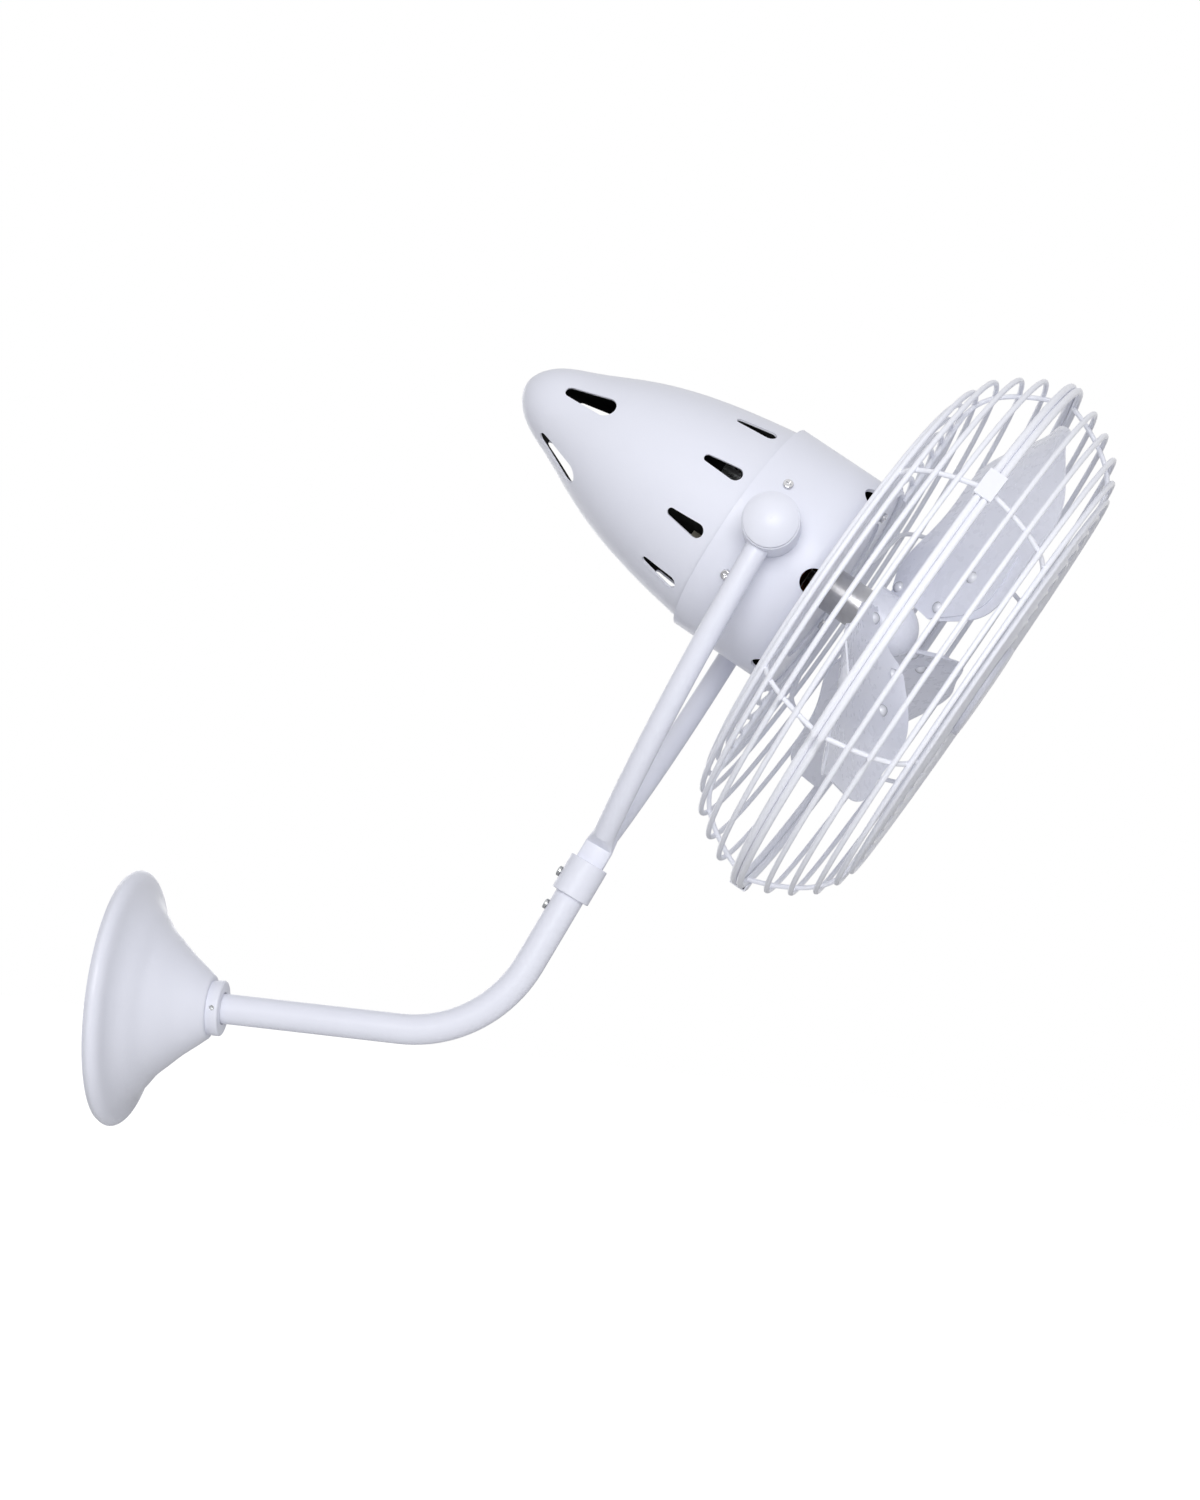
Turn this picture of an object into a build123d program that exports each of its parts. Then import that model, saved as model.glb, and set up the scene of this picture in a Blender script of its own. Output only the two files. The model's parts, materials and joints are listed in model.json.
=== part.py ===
from build123d import *
import os
from math import asin, cos, degrees, radians, sin

# Wall mounted fan. Millimetres. The wall is the plane Y = 0, the fan stands out along -Y, +Z is up.
# The origin is the centre of the mounting plate's back face. The near side is -X.

# ---------------------------------------------------------------- driving dimensions

# wall plate and pipe flange
PLATE_RADIUS = 58.0
PLATE_THICK = 3.0
BOX_SCREW_SPACING = 88.9
BOX_HOLE_RADIUS = 2.3
CABLE_HOLE_RADIUS = 8.0
FLANGE_RADIUS = 29.0
FLANGE_THICK = 4.0
SOCKET_WALL = 3.4
SOCKET_LENGTH = 22.0
FLANGE_SCREW_CIRCLE = 22.5
FLANGE_SCREW_COUNT = 3

# canopy bell and ring
BELL_RIM_RADIUS = 90.4
BELL_DEPTH = 66.0
BELL_NECK_RADIUS = 22.2
BELL_WALL = 1.3
NECK_ROUND = 2.4
RING_RADIUS = 18.9
RING_LENGTH = 3.4
RING_STEP_RADIUS = 19.6
RING_STEP_LENGTH = 5.2
RING_ROUND = 1.6
RING_GAP = 0.8

# outer curve of the bell: share of the way from neck to rim, share of the depth
BELL_PROFILE = (
    (0.965, 0.0),
    (1.0, 0.068),
    (0.973, 0.130),
    (0.845, 0.190),
    (0.680, 0.273),
    (0.588, 0.348),
    (0.470, 0.439),
    (0.357, 0.561),
    (0.209, 0.727),
    (0.094, 0.879),
)

# arm tube
TUBE_RADIUS = 10.65
TUBE_WALL = 2.1
ARM_REACH = 201.0
ARM_BEND_RADIUS = 93.9
ARM_BEND_ANGLE = 65.5
ARM_LEG = 54.8
LEAD_RADIUS = 2.6

# swivel at the top of the arm
COLLAR_RADIUS = 14.2
COLLAR_LENGTH = 27.0
COLLAR_TOP = 3.0
SWIVEL_FIT = 0.08
WASHER_THICK = 1.5
INSERT_LENGTH = 48.0
INSERT_WALL = 1.6
LOCK_SCREW_HEIGHT = 11.5
INSERT_SCREW_DROP = 13.0

# yoke
PIVOT_RISE = 281.9
YOKE_TUBE_RADIUS = 8.0
YOKE_TUBE_WALL = 1.5
STEM_WIDTH = 20.5
STEM_THICK = 5.6
STEM_RISE = 13.0
YOKE_START_RISE = 50.0
YOKE_START_X = 11.0
YOKE_END_X = 100.0
BOSS_RADIUS = 19.7
BOSS_INNER_X = 84.2
BOSS_OUTER_X = 112.0
BOSS_POCKET_RADIUS = 12.0
BOSS_POCKET_DEPTH = 13.0
CAP_RADIUS = 18.6
CAP_GAP = 0.9
CAP_SKIRT = 1.8
CAP_DOME = 6.6
BOLT_RADIUS = 4.0
BOLT_HEAD_RADIUS = 7.4
BOLT_HEAD = 5.0
PIVOT_FIT = 0.05
NUT_RADIUS = 7.5
NUT_THICK = 6.5
PIVOT_WASHER_RADIUS = 9.0
PIVOT_WASHER_THICK = 1.5

# head: a is the distance along the head's axis from the tilt pivot, forwards positive
HEAD_DROP_ANGLE = 28.84
NOSE_A = -215.4
SEAM_A = -30.0
SEAM_RADIUS = 77.6
FACE_A = 48.0
BAND_RADIUS = 81.4
HOUSING_WALL = 1.6
BAND_WALL = 2.4
SHOULDER_RADIUS = 14.0
LIP_END_A = -4.0
LIP_FIT = 0.05
BAND_SCREW_A = -9.2
BAND_SCREW_OFFSETS = (-26.7, 26.7)
PHASE = 3.8

# vents
SEAM_VENT_COUNT = 10
SEAM_VENT_BACK_A = -68.4
SEAM_VENT_FRONT_A = -38.2
SEAM_VENT_SMALL = 2.9
SEAM_VENT_LARGE = 5.2
NOSE_VENT_COUNT = 5
NOSE_VENT_BACK_A = -182.4
NOSE_VENT_FRONT_A = -142.0
NOSE_VENT_SMALL = 3.8
NOSE_VENT_LARGE = 7.4
MOON_COUNT = 6
MOON_PHASE = 40.0
MOON_BACK_A = 33.8
MOON_FRONT_A = 45.2
MOON_RADIUS = 9.5
FACE_SLOT_COUNT = 3
FACE_SLOT_RADIUS = 38.0
FACE_SLOT_WIDTH = 12.0
FACE_SLOT_SPAN = 70.0
FACE_SLOT_PHASE = 36.0

# motor
SHAFT_RADIUS = 4.0
SHAFT_BACK_A = -52.0
STATOR_RADIUS = 55.0
STATOR_BORE = 27.6
AIR_GAP = 0.6
STACK_LENGTH = 44.0
STATOR_SLOTS = 12
STATOR_SLOT_RADIUS = 4.0
STATOR_SLOT_CIRCLE = 37.0
WINDING_INNER = 31.0
WINDING_OUTER = 45.0
WINDING_LENGTH = 11.0
THROUGH_BOLT_CIRCLE = 50.0
THROUGH_BOLT_RADIUS = 2.0
THROUGH_BOLT_COUNT = 4
THROUGH_BOLT_PHASE = 45.0
POST_RADIUS = 4.6
BRACKET_A = -37.0
BRACKET_THICK = 3.0
BRACKET_RIM_WALL = 2.2
BEARING_RADIUS = 11.0
BEARING_WIDTH = 7.0
NOSEPIECE_RADIUS = 15.6
NOSEPIECE_END_A = 74.0
CAPACITOR_RADIUS = 15.0
CAPACITOR_LENGTH = 50.0
CAPACITOR_OFFSET = 34.0
CLAMP_THICK = 1.2
CLAMP_WIDTH = 14.0
CLAMP_REACH = 22.0
LEAD_LOOP = 12.0
TERMINAL_OFFSET = -30.0
TERMINAL_WIDTH = 34.0
TERMINAL_DEPTH = 13.0
TERMINAL_HEIGHT = 16.0
MOTOR_LEAD_RADIUS = 1.3

# guards
WIRE_RADIUS = 1.9
RIM_WIRE_RADIUS = 2.55
RIM_A = 111.4
RIM_RADIUS = 206.0
SIDE_STEPS = ((20.0, 6.9), (34.5, 15.0), (48.3, 25.7), (56.5, 39.0))
FLAT_INSET = 60.4
FLAT_CORNER_INSET = 51.4
FRONT_FLAT_RINGS = 11
FRONT_INNER_RING = 31.9
REAR_FLAT_RINGS = 7
REAR_RING_OVERLAP = 3.7
RIB_ANGLES = (66.4, 121.0, 190.0, 246.7, 301.3, 358.0)
RIB_WIRE_RADIUS = 1.75
RIB_SINK = 0.75
MOUNT_RING_INNER = 56.0
MOUNT_RING_OUTER = 86.0
MOUNT_RING_THICK = 1.6
GUARD_SCREW_CIRCLE = 61.5
GUARD_SCREW_COUNT = 3
GUARD_SCREW_PHASE = 14.0
BADGE_RADIUS = 36.0
BADGE_THICK = 4.0
CLIP_ANGLES = (66.4, 190.0, 301.3)
CLIP_LENGTH = 22.0
CLIP_WALL = 1.2

# rotor
HUB_RADIUS = 22.0
HUB_BACK_A = 76.0
HUB_LENGTH = 42.0
HUB_DOME = 25.0
HUB_BORE_DEPTH = 28.0
BLADE_COUNT = 3
BLADE_PHASE = 10.0
BLADE_THICK = 1.4
BLADE_START_RADIUS = 24.0
BLADE_TIP_ROUND = 43.0
BLADE_TIP_HALF_WIDTH = 61.0
BLADE_TIP_SHIFT = 4.0
BLADE_CAMBER = 0.06
IRON_THICK = 2.0
IRON_SHARE = 0.86
IRON_MIDDLE_RADIUS = 54.0
IRON_END_SLANT = 36.0
RIVET_RADIUS = 4.4
RIVET_HEAD = 3.2
RIVET_SHANK = 2.2

# blade stations: radius from the head's axis, chord, pitch from the disc's plane, a of the blade's
# spine, offset of mid chord from the spine along the chord, forwards positive
BLADE_STATIONS = (
    (14.0, 44.0, 53.5, 108.2, -12.0),
    (26.0, 60.0, 51.2, 109.7, -8.0),
    (45.0, 98.0, 47.6, 112.0, 0.0),
    (72.0, 108.0, 42.4, 115.4, 1.0),
    (110.0, 124.0, 35.1, 120.1, -5.0),
    (146.0, 112.0, 28.2, 124.6, -16.0),
    (183.0, 76.0, 21.3, 129.2, -22.0),
)
# rivets of one blade: radius from the head's axis, place along the chord
RIVET_PLACES = ((27.0, -21.0), (31.0, 19.0), (61.0, 23.0))

# shared small fasteners
SCREW_HEAD_RADIUS = 3.75
SCREW_HEAD = 2.6
SCREW_RADIUS = 1.9
CROSS_WIDTH = 0.9
CROSS_LENGTH = 4.0
CROSS_DEPTH = 1.4

# ---------------------------------------------------------------- frames

X_DIR = Vector(1, 0, 0)
WALL_AXIS = Axis((0, 0, 0), (0, -1, 0))
bend = radians(ARM_BEND_ANGLE)
STEM_DIR = Vector(0, -cos(bend), sin(bend))
BEND_START = Vector(0, -ARM_REACH, 0)
BEND_END = BEND_START + Vector(0, -ARM_BEND_RADIUS * sin(bend), ARM_BEND_RADIUS * (1 - cos(bend)))
STEM_BASE = BEND_END + STEM_DIR * ARM_LEG
PIVOT = STEM_BASE + STEM_DIR * PIVOT_RISE
drop = radians(HEAD_DROP_ANGLE)
HEAD_DIR = Vector(0, -cos(drop), -sin(drop))
HEAD_UP = Vector(0, -sin(drop), cos(drop))
HEAD_AXIS = Axis(PIVOT, HEAD_DIR)
PIVOT_AXIS = Axis(PIVOT, X_DIR)

# section planes: local x is the radius, local y runs along the axis
WALL_SECTION = Plane(origin=(0, 0, 0), x_dir=(0, 0, 1), z_dir=(1, 0, 0))
STEM_SECTION = Plane(origin=STEM_BASE, x_dir=X_DIR, z_dir=X_DIR.cross(STEM_DIR))
HEAD_SECTION = Plane(origin=PIVOT, x_dir=X_DIR, z_dir=X_DIR.cross(HEAD_DIR))


def wall_plane(out):
    """A plane square to the wall's normal, out from the wall, with local y up."""
    return Plane(origin=(0, -out, 0), x_dir=X_DIR, z_dir=(0, -1, 0))


def stem_plane(rise):
    """A plane square to the stem, rise above the collar's lower end."""
    return Plane(origin=STEM_BASE + STEM_DIR * rise, x_dir=X_DIR, z_dir=STEM_DIR)


def head_plane(a):
    """A plane square to the head's axis, with local y up."""
    return Plane(origin=PIVOT + HEAD_DIR * a, x_dir=X_DIR, z_dir=HEAD_DIR)


def side_plane(x):
    """A plane square to the pivot axis at x, facing away from the head."""
    outwards = 1 if x > 0 else -1
    return Plane(origin=PIVOT + X_DIR * x, x_dir=HEAD_DIR, z_dir=X_DIR * outwards)


def polar(angle):
    """Local polar angle in head_plane of an angle counted from the top towards the near side."""
    return 90 + angle


def spoke(angle):
    """Unit vector square to the head's axis, at an angle from the top towards the near side."""
    return HEAD_UP * cos(radians(angle)) - X_DIR * sin(radians(angle))


def around_head(a, radius, angle):
    """A plane on the head's side whose normal points outwards and whose x runs forwards."""
    outwards = spoke(angle)
    return Plane(origin=PIVOT + HEAD_DIR * a + outwards * radius, x_dir=HEAD_DIR, z_dir=outwards)


def lifted(planes, height):
    """The same planes, each moved along its own normal."""
    return [plane.offset(height) for plane in planes]


def finish(builder, name):
    """Labels a finished piece and writes it."""
    builder.part.label = name
    export_step(builder.part, f"parts/{name}.step")


def cross_screws(name, planes, shank, head_radius=SCREW_HEAD_RADIUS, head=SCREW_HEAD):
    """Identical pan-head screws with a cross recess, each seated on its own plane."""
    with BuildPart() as screws:
        with BuildSketch(*planes):
            Circle(head_radius)
        extrude(amount=head)
        fillet(screws.faces().filter_by(GeomType.PLANE).edges().filter_by(GeomType.CIRCLE)
               .filter_by(lambda edge: any(abs(plane.to_local_coords(edge.arc_center).Z - head) < 0.01
                                           for plane in planes)), head * 0.45)
        with BuildSketch(*lifted(planes, head)):
            Rectangle(CROSS_LENGTH, CROSS_WIDTH)
            Rectangle(CROSS_WIDTH, CROSS_LENGTH)
        extrude(amount=-CROSS_DEPTH, mode=Mode.SUBTRACT)
        with BuildSketch(*planes):
            Circle(SCREW_RADIUS)
        extrude(amount=-shank)
    finish(screws, name)


os.makedirs("parts", exist_ok=True)

# ---------------------------------------------------------------- wall plate, flange and canopy

flange_front = PLATE_THICK + FLANGE_THICK
socket_end = PLATE_THICK + SOCKET_LENGTH
socket_radius = TUBE_RADIUS + SOCKET_WALL
ring_bore = TUBE_RADIUS + RING_GAP

with BuildPart() as mounting_plate:
    with BuildSketch(wall_plane(0)):
        Circle(PLATE_RADIUS)
        Circle(CABLE_HOLE_RADIUS, mode=Mode.SUBTRACT)
        with GridLocations(BOX_SCREW_SPACING, 0, 2, 1):
            Circle(BOX_HOLE_RADIUS, mode=Mode.SUBTRACT)
        with PolarLocations(FLANGE_SCREW_CIRCLE, FLANGE_SCREW_COUNT, start_angle=90):
            Circle(SCREW_RADIUS, mode=Mode.SUBTRACT)
    extrude(amount=PLATE_THICK)
finish(mounting_plate, "mounting_plate")

with BuildPart() as pipe_flange:
    with BuildSketch(wall_plane(PLATE_THICK)):
        Circle(FLANGE_RADIUS)
        with PolarLocations(FLANGE_SCREW_CIRCLE, FLANGE_SCREW_COUNT, start_angle=90):
            Circle(SCREW_RADIUS, mode=Mode.SUBTRACT)
    extrude(amount=FLANGE_THICK)
    with BuildSketch(wall_plane(PLATE_THICK)):
        Circle(socket_radius)
    extrude(amount=SOCKET_LENGTH)
    with BuildSketch(wall_plane(PLATE_THICK)):
        Circle(CABLE_HOLE_RADIUS)
    extrude(amount=SOCKET_LENGTH, mode=Mode.SUBTRACT)
    with BuildSketch(wall_plane(flange_front)):
        Circle(TUBE_RADIUS)
    extrude(amount=SOCKET_LENGTH, mode=Mode.SUBTRACT)
    with BuildSketch(Plane(origin=(0, -socket_end + 2.5 * SCREW_RADIUS, 0), z_dir=(0, 0, 1))):
        Circle(SCREW_RADIUS)
    extrude(amount=socket_radius + 1, mode=Mode.SUBTRACT)
finish(pipe_flange, "pipe_flange")

with BuildPart() as socket_set_screw:
    with BuildSketch(Plane(origin=(0, -socket_end + 2.5 * SCREW_RADIUS, TUBE_RADIUS), z_dir=(0, 0, 1))):
        Circle(SCREW_RADIUS)
    extrude(amount=SOCKET_WALL)
    with BuildSketch(socket_set_screw.faces().sort_by(Axis.Z)[-1]):
        RegularPolygon(SCREW_RADIUS * 0.5, 6)
    extrude(amount=-SOCKET_WALL / 2, mode=Mode.SUBTRACT)
finish(socket_set_screw, "socket_set_screw")

flange_screw_planes = []
for k in range(FLANGE_SCREW_COUNT):
    turn = radians(90 + 360 * k / FLANGE_SCREW_COUNT)
    centre = (FLANGE_SCREW_CIRCLE * cos(turn), -flange_front, FLANGE_SCREW_CIRCLE * sin(turn))
    flange_screw_planes.append(Plane(origin=centre, x_dir=X_DIR, z_dir=(0, -1, 0)))
cross_screws("flange_screws", flange_screw_planes, flange_front)

bell_flare = BELL_RIM_RADIUS - BELL_NECK_RADIUS
bell_curve = [(BELL_NECK_RADIUS + bell_flare * out, BELL_DEPTH * along) for out, along in BELL_PROFILE]
bell_curve.append((BELL_NECK_RADIUS, BELL_DEPTH))


def inset(points, wall):
    """The points of a curve, each moved square to it towards the axis by the wall."""
    moved = []
    for k, (radius, along) in enumerate(points):
        before = points[max(k - 1, 0)]
        after = points[min(k + 1, len(points) - 1)]
        run = Vector(after[0] - before[0], after[1] - before[1]).normalized()
        side = Vector(-run.Y, run.X)
        if side.X > 0:
            side = -side
        moved.append((radius + side.X * wall, along + side.Y * wall))
    return moved


bell_inner = inset(bell_curve, BELL_WALL)
bell_inner[0] = (bell_curve[0][0] - BELL_WALL, 0.0)
bell_inner[-1] = (BELL_NECK_RADIUS - BELL_WALL, BELL_DEPTH - BELL_WALL)

with BuildPart() as canopy_bell:
    with BuildSketch(WALL_SECTION):
        with BuildLine():
            Spline(bell_curve, tangents=[(0.7, 1), (-0.75, 1)], tangent_scalars=[1, 1])
            Line(bell_curve[-1], (ring_bore, BELL_DEPTH))
            Line((ring_bore, BELL_DEPTH), (ring_bore, BELL_DEPTH - BELL_WALL))
            Line((ring_bore, BELL_DEPTH - BELL_WALL), bell_inner[-1])
            Spline(bell_inner, tangents=[(0.7, 1), (-0.75, 1)], tangent_scalars=[1, 1])
            Line(bell_inner[0], bell_curve[0])
        make_face()
    revolve(axis=WALL_AXIS)
    fillet(canopy_bell.edges().filter_by(GeomType.CIRCLE).group_by(Axis.Y)[0].sort_by(SortBy.RADIUS)[-1],
           NECK_ROUND)
finish(canopy_bell, "canopy_bell")

ring_step = BELL_DEPTH + RING_LENGTH
grub_out = ring_step + SCREW_RADIUS / 2
grub_top = RING_RADIUS - 1.5

with BuildPart() as canopy_ring:
    with BuildSketch(wall_plane(BELL_DEPTH)):
        Circle(RING_RADIUS)
    extrude(amount=RING_LENGTH)
    with BuildSketch(wall_plane(ring_step)):
        Circle(RING_STEP_RADIUS)
    extrude(amount=RING_STEP_LENGTH)
    fillet(canopy_ring.faces().sort_by(Axis.Y)[0].edges(), RING_ROUND)
    with BuildSketch(wall_plane(BELL_DEPTH)):
        Circle(ring_bore)
    extrude(amount=RING_LENGTH + RING_STEP_LENGTH, mode=Mode.SUBTRACT)
    with BuildSketch(Plane(origin=(0, -grub_out, 0), z_dir=(-1, 0, 0))):
        Circle(SCREW_RADIUS)
    extrude(amount=RING_RADIUS + 1, mode=Mode.SUBTRACT)
finish(canopy_ring, "canopy_ring")

with BuildPart() as ring_set_screw:
    with BuildSketch(Plane(origin=(-TUBE_RADIUS, -grub_out, 0), z_dir=(-1, 0, 0))):
        Circle(SCREW_RADIUS)
    extrude(amount=grub_top - TUBE_RADIUS)
    with BuildSketch(Plane(origin=(-grub_top, -grub_out, 0), z_dir=(-1, 0, 0))):
        RegularPolygon(SCREW_RADIUS * 0.5, 6)
    extrude(amount=-2.5, mode=Mode.SUBTRACT)
finish(ring_set_screw, "ring_set_screw")

# ---------------------------------------------------------------- arm

ARM_PLANE = Plane(origin=(0, 0, 0), x_dir=(0, -1, 0), z_dir=(-1, 0, 0))
WALLWARD = Vector(0, sin(bend), cos(bend))
tube_bore = TUBE_RADIUS - TUBE_WALL
tube_top = COLLAR_LENGTH - COLLAR_TOP - WASHER_THICK - SWIVEL_FIT
insert_bore = tube_bore - INSERT_WALL
insert_bottom = tube_top - INSERT_LENGTH


def arm_run(lowered, start, top):
    """The arm's centre line, lowered towards the outside of the bend, from the wall to the top."""
    first = Line((start, -lowered), (ARM_REACH, -lowered))
    arc = JernArc(start=first @ 1, tangent=first % 1, radius=ARM_BEND_RADIUS + lowered,
                  arc_size=ARM_BEND_ANGLE)
    leg = ARM_LEG + top
    Line(arc @ 1, (arc @ 1) + (arc % 1) * leg)


with BuildPart() as arm_tube:
    with BuildLine(ARM_PLANE) as arm_path:
        arm_run(0, flange_front, tube_top)
    with BuildSketch(wall_plane(flange_front)):
        Circle(TUBE_RADIUS)
        Circle(tube_bore, mode=Mode.SUBTRACT)
    sweep(path=arm_path.wire())
    with BuildSketch(Plane(origin=STEM_BASE - STEM_DIR * INSERT_SCREW_DROP, z_dir=WALLWARD)):
        Circle(SCREW_RADIUS)
    extrude(amount=TUBE_RADIUS + 1, mode=Mode.SUBTRACT)
finish(arm_tube, "arm_tube")

with BuildPart() as arm_insert:
    with BuildSketch(stem_plane(insert_bottom)):
        Circle(tube_bore)
        Circle(insert_bore, mode=Mode.SUBTRACT)
    extrude(amount=INSERT_LENGTH)
    with BuildSketch(Plane(origin=STEM_BASE - STEM_DIR * INSERT_SCREW_DROP, z_dir=WALLWARD)):
        Circle(SCREW_RADIUS)
    extrude(amount=TUBE_RADIUS, mode=Mode.SUBTRACT)
finish(arm_insert, "arm_insert")

insert_screw_seat = STEM_BASE - STEM_DIR * INSERT_SCREW_DROP + WALLWARD * TUBE_RADIUS
cross_screws("insert_screw", [Plane(origin=insert_screw_seat, x_dir=X_DIR, z_dir=WALLWARD)],
             TUBE_WALL + INSERT_WALL)

with BuildPart() as swivel_washer:
    with BuildSketch(stem_plane(tube_top)):
        Circle(TUBE_RADIUS)
        Circle(insert_bore, mode=Mode.SUBTRACT)
    extrude(amount=WASHER_THICK)
finish(swivel_washer, "swivel_washer")

lead_lowered = insert_bore - LEAD_RADIUS - 0.1

with BuildPart() as supply_leads:
    with BuildLine(ARM_PLANE) as lead_path:
        arm_run(lead_lowered, PLATE_THICK, tube_top - 2)
    with BuildSketch(Plane(origin=(0, -PLATE_THICK, -lead_lowered), x_dir=X_DIR, z_dir=(0, -1, 0))):
        Circle(LEAD_RADIUS)
    sweep(path=lead_path.wire())
finish(supply_leads, "supply_leads")

# ---------------------------------------------------------------- swivel collar and yoke

with BuildPart() as swivel_collar:
    with BuildSketch(stem_plane(0)):
        Circle(COLLAR_RADIUS)
    extrude(amount=COLLAR_LENGTH)
    fillet(swivel_collar.edges().filter_by(GeomType.CIRCLE), 0.8)
    with BuildSketch(stem_plane(0)):
        Circle(TUBE_RADIUS + SWIVEL_FIT)
    extrude(amount=COLLAR_LENGTH - COLLAR_TOP, mode=Mode.SUBTRACT)
    with BuildSketch(Plane(origin=STEM_BASE + STEM_DIR * LOCK_SCREW_HEIGHT, z_dir=WALLWARD)):
        Circle(SCREW_RADIUS)
    extrude(amount=COLLAR_RADIUS + 1, mode=Mode.SUBTRACT)
finish(swivel_collar, "swivel_collar")

lock_seat = STEM_BASE + STEM_DIR * LOCK_SCREW_HEIGHT + WALLWARD * COLLAR_RADIUS
cross_screws("pan_lock_screw", [Plane(origin=lock_seat, x_dir=X_DIR, z_dir=WALLWARD)],
             COLLAR_RADIUS - TUBE_RADIUS - SWIVEL_FIT)

# each yoke tube is an arc that ends parallel to the stem beside the pivot boss
yoke_spread = YOKE_END_X - YOKE_START_X
yoke_climb = PIVOT_RISE - YOKE_START_RISE
yoke_radius = (yoke_spread ** 2 + yoke_climb ** 2) / (2 * yoke_spread)
yoke_turn = degrees(asin(yoke_climb / yoke_radius))
stem_top = COLLAR_LENGTH + STEM_RISE

with BuildPart() as yoke_arm_right:
    with BuildLine(STEM_SECTION) as yoke_path:
        CenterArc((YOKE_END_X - yoke_radius, PIVOT_RISE), yoke_radius, -yoke_turn, yoke_turn)
    yoke_start = Plane(origin=yoke_path.line @ 0, x_dir=WALLWARD, z_dir=yoke_path.line % 0)
    with BuildSketch(yoke_start):
        Circle(YOKE_TUBE_RADIUS)
        Circle(YOKE_TUBE_RADIUS - YOKE_TUBE_WALL, mode=Mode.SUBTRACT)
    sweep(path=yoke_path.wire())
    flat = Plane(origin=STEM_BASE + STEM_DIR * stem_top + X_DIR * (STEM_THICK / 2),
                 x_dir=WALLWARD, z_dir=STEM_DIR)
    with BuildSketch(flat):
        Ellipse(STEM_WIDTH / 2, STEM_THICK / 2)
    with BuildSketch(yoke_start):
        Circle(YOKE_TUBE_RADIUS)
    loft()
    with BuildSketch(flat):
        Ellipse(STEM_WIDTH / 2, STEM_THICK / 2)
    extrude(amount=-STEM_RISE)
    with BuildSketch(side_plane(BOSS_INNER_X - 10)):
        Circle(BOSS_RADIUS)
    extrude(amount=60, mode=Mode.SUBTRACT)
finish(yoke_arm_right, "yoke_arm_right")

with BuildPart() as yoke_arm_left:
    mirror(yoke_arm_right.part, about=Plane.YZ)
finish(yoke_arm_left, "yoke_arm_left")

pocket_floor = BOSS_OUTER_X - BOSS_POCKET_DEPTH
saddle_face = BOSS_INNER_X - 0.1
bushing_radius = BOLT_RADIUS + 2.5
bushing_inner = BAND_RADIUS - BAND_WALL - 6.0
washer_inner = bushing_inner - 0.1 - PIVOT_WASHER_THICK
nut_inner = washer_inner - NUT_THICK

dome_sphere = (CAP_RADIUS ** 2 + CAP_DOME ** 2) / (2 * CAP_DOME)
dome_turn = degrees(asin(CAP_RADIUS / dome_sphere))

for side, sign in (("left", -1), ("right", 1)):
    with BuildPart() as pivot_boss:
        with BuildSketch(side_plane(sign * BOSS_INNER_X)):
            Circle(BOSS_RADIUS)
        extrude(amount=BOSS_OUTER_X - BOSS_INNER_X)
        fillet(pivot_boss.edges().filter_by(GeomType.CIRCLE), 0.8)
        with BuildSketch(side_plane(sign * pocket_floor)):
            Circle(BOSS_POCKET_RADIUS)
        extrude(amount=BOSS_POCKET_DEPTH, mode=Mode.SUBTRACT)
        with BuildSketch(side_plane(sign * BOSS_INNER_X)):
            Circle(BOLT_RADIUS)
        extrude(amount=BOSS_OUTER_X, mode=Mode.SUBTRACT)
    finish(pivot_boss, f"pivot_boss_{side}")

    with BuildPart() as pivot_cap:
        with BuildSketch(side_plane(sign * (BOSS_OUTER_X + CAP_GAP))):
            Circle(CAP_RADIUS)
        extrude(amount=CAP_SKIRT)
        dome_base = PIVOT + X_DIR * sign * (BOSS_OUTER_X + CAP_GAP + CAP_SKIRT)
        with BuildSketch(Plane(origin=dome_base, x_dir=STEM_DIR, z_dir=STEM_DIR.cross(X_DIR * sign))):
            with BuildLine():
                CenterArc((0, CAP_DOME - dome_sphere), dome_sphere, 90 - dome_turn, dome_turn)
                Polyline((0, CAP_DOME), (0, 0), (CAP_RADIUS, 0))
            make_face()
        revolve(axis=PIVOT_AXIS)
        with BuildSketch(side_plane(sign * (BOSS_OUTER_X - 4))):
            Circle(BOSS_POCKET_RADIUS - 0.05)
        extrude(amount=4 + CAP_GAP)
    finish(pivot_cap, f"pivot_cap_{side}")

    with BuildPart() as pivot_bolt:
        with BuildSketch(side_plane(sign * pocket_floor)):
            Circle(BOLT_HEAD_RADIUS)
        extrude(amount=BOLT_HEAD)
        fillet(pivot_bolt.edges().filter_by(GeomType.CIRCLE), 0.7)
        with BuildSketch(side_plane(sign * (pocket_floor + BOLT_HEAD))):
            RegularPolygon(3, 6)
        extrude(amount=-3, mode=Mode.SUBTRACT)
        with BuildSketch(side_plane(sign * pocket_floor)):
            Circle(BOLT_RADIUS)
        extrude(amount=-(pocket_floor - nut_inner + 1))
    finish(pivot_bolt, f"pivot_bolt_{side}")

with BuildPart() as pivot_washers:
    with BuildSketch(side_plane(-washer_inner), side_plane(washer_inner)):
        Circle(PIVOT_WASHER_RADIUS)
        Circle(BOLT_RADIUS, mode=Mode.SUBTRACT)
    extrude(amount=PIVOT_WASHER_THICK)
finish(pivot_washers, "pivot_washers")

with BuildPart() as pivot_nuts:
    with BuildSketch(side_plane(-nut_inner), side_plane(nut_inner)):
        RegularPolygon(NUT_RADIUS, 6)
        Circle(BOLT_RADIUS, mode=Mode.SUBTRACT)
    extrude(amount=NUT_THICK)
finish(pivot_nuts, "pivot_nuts")

# ---------------------------------------------------------------- motor housings

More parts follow.
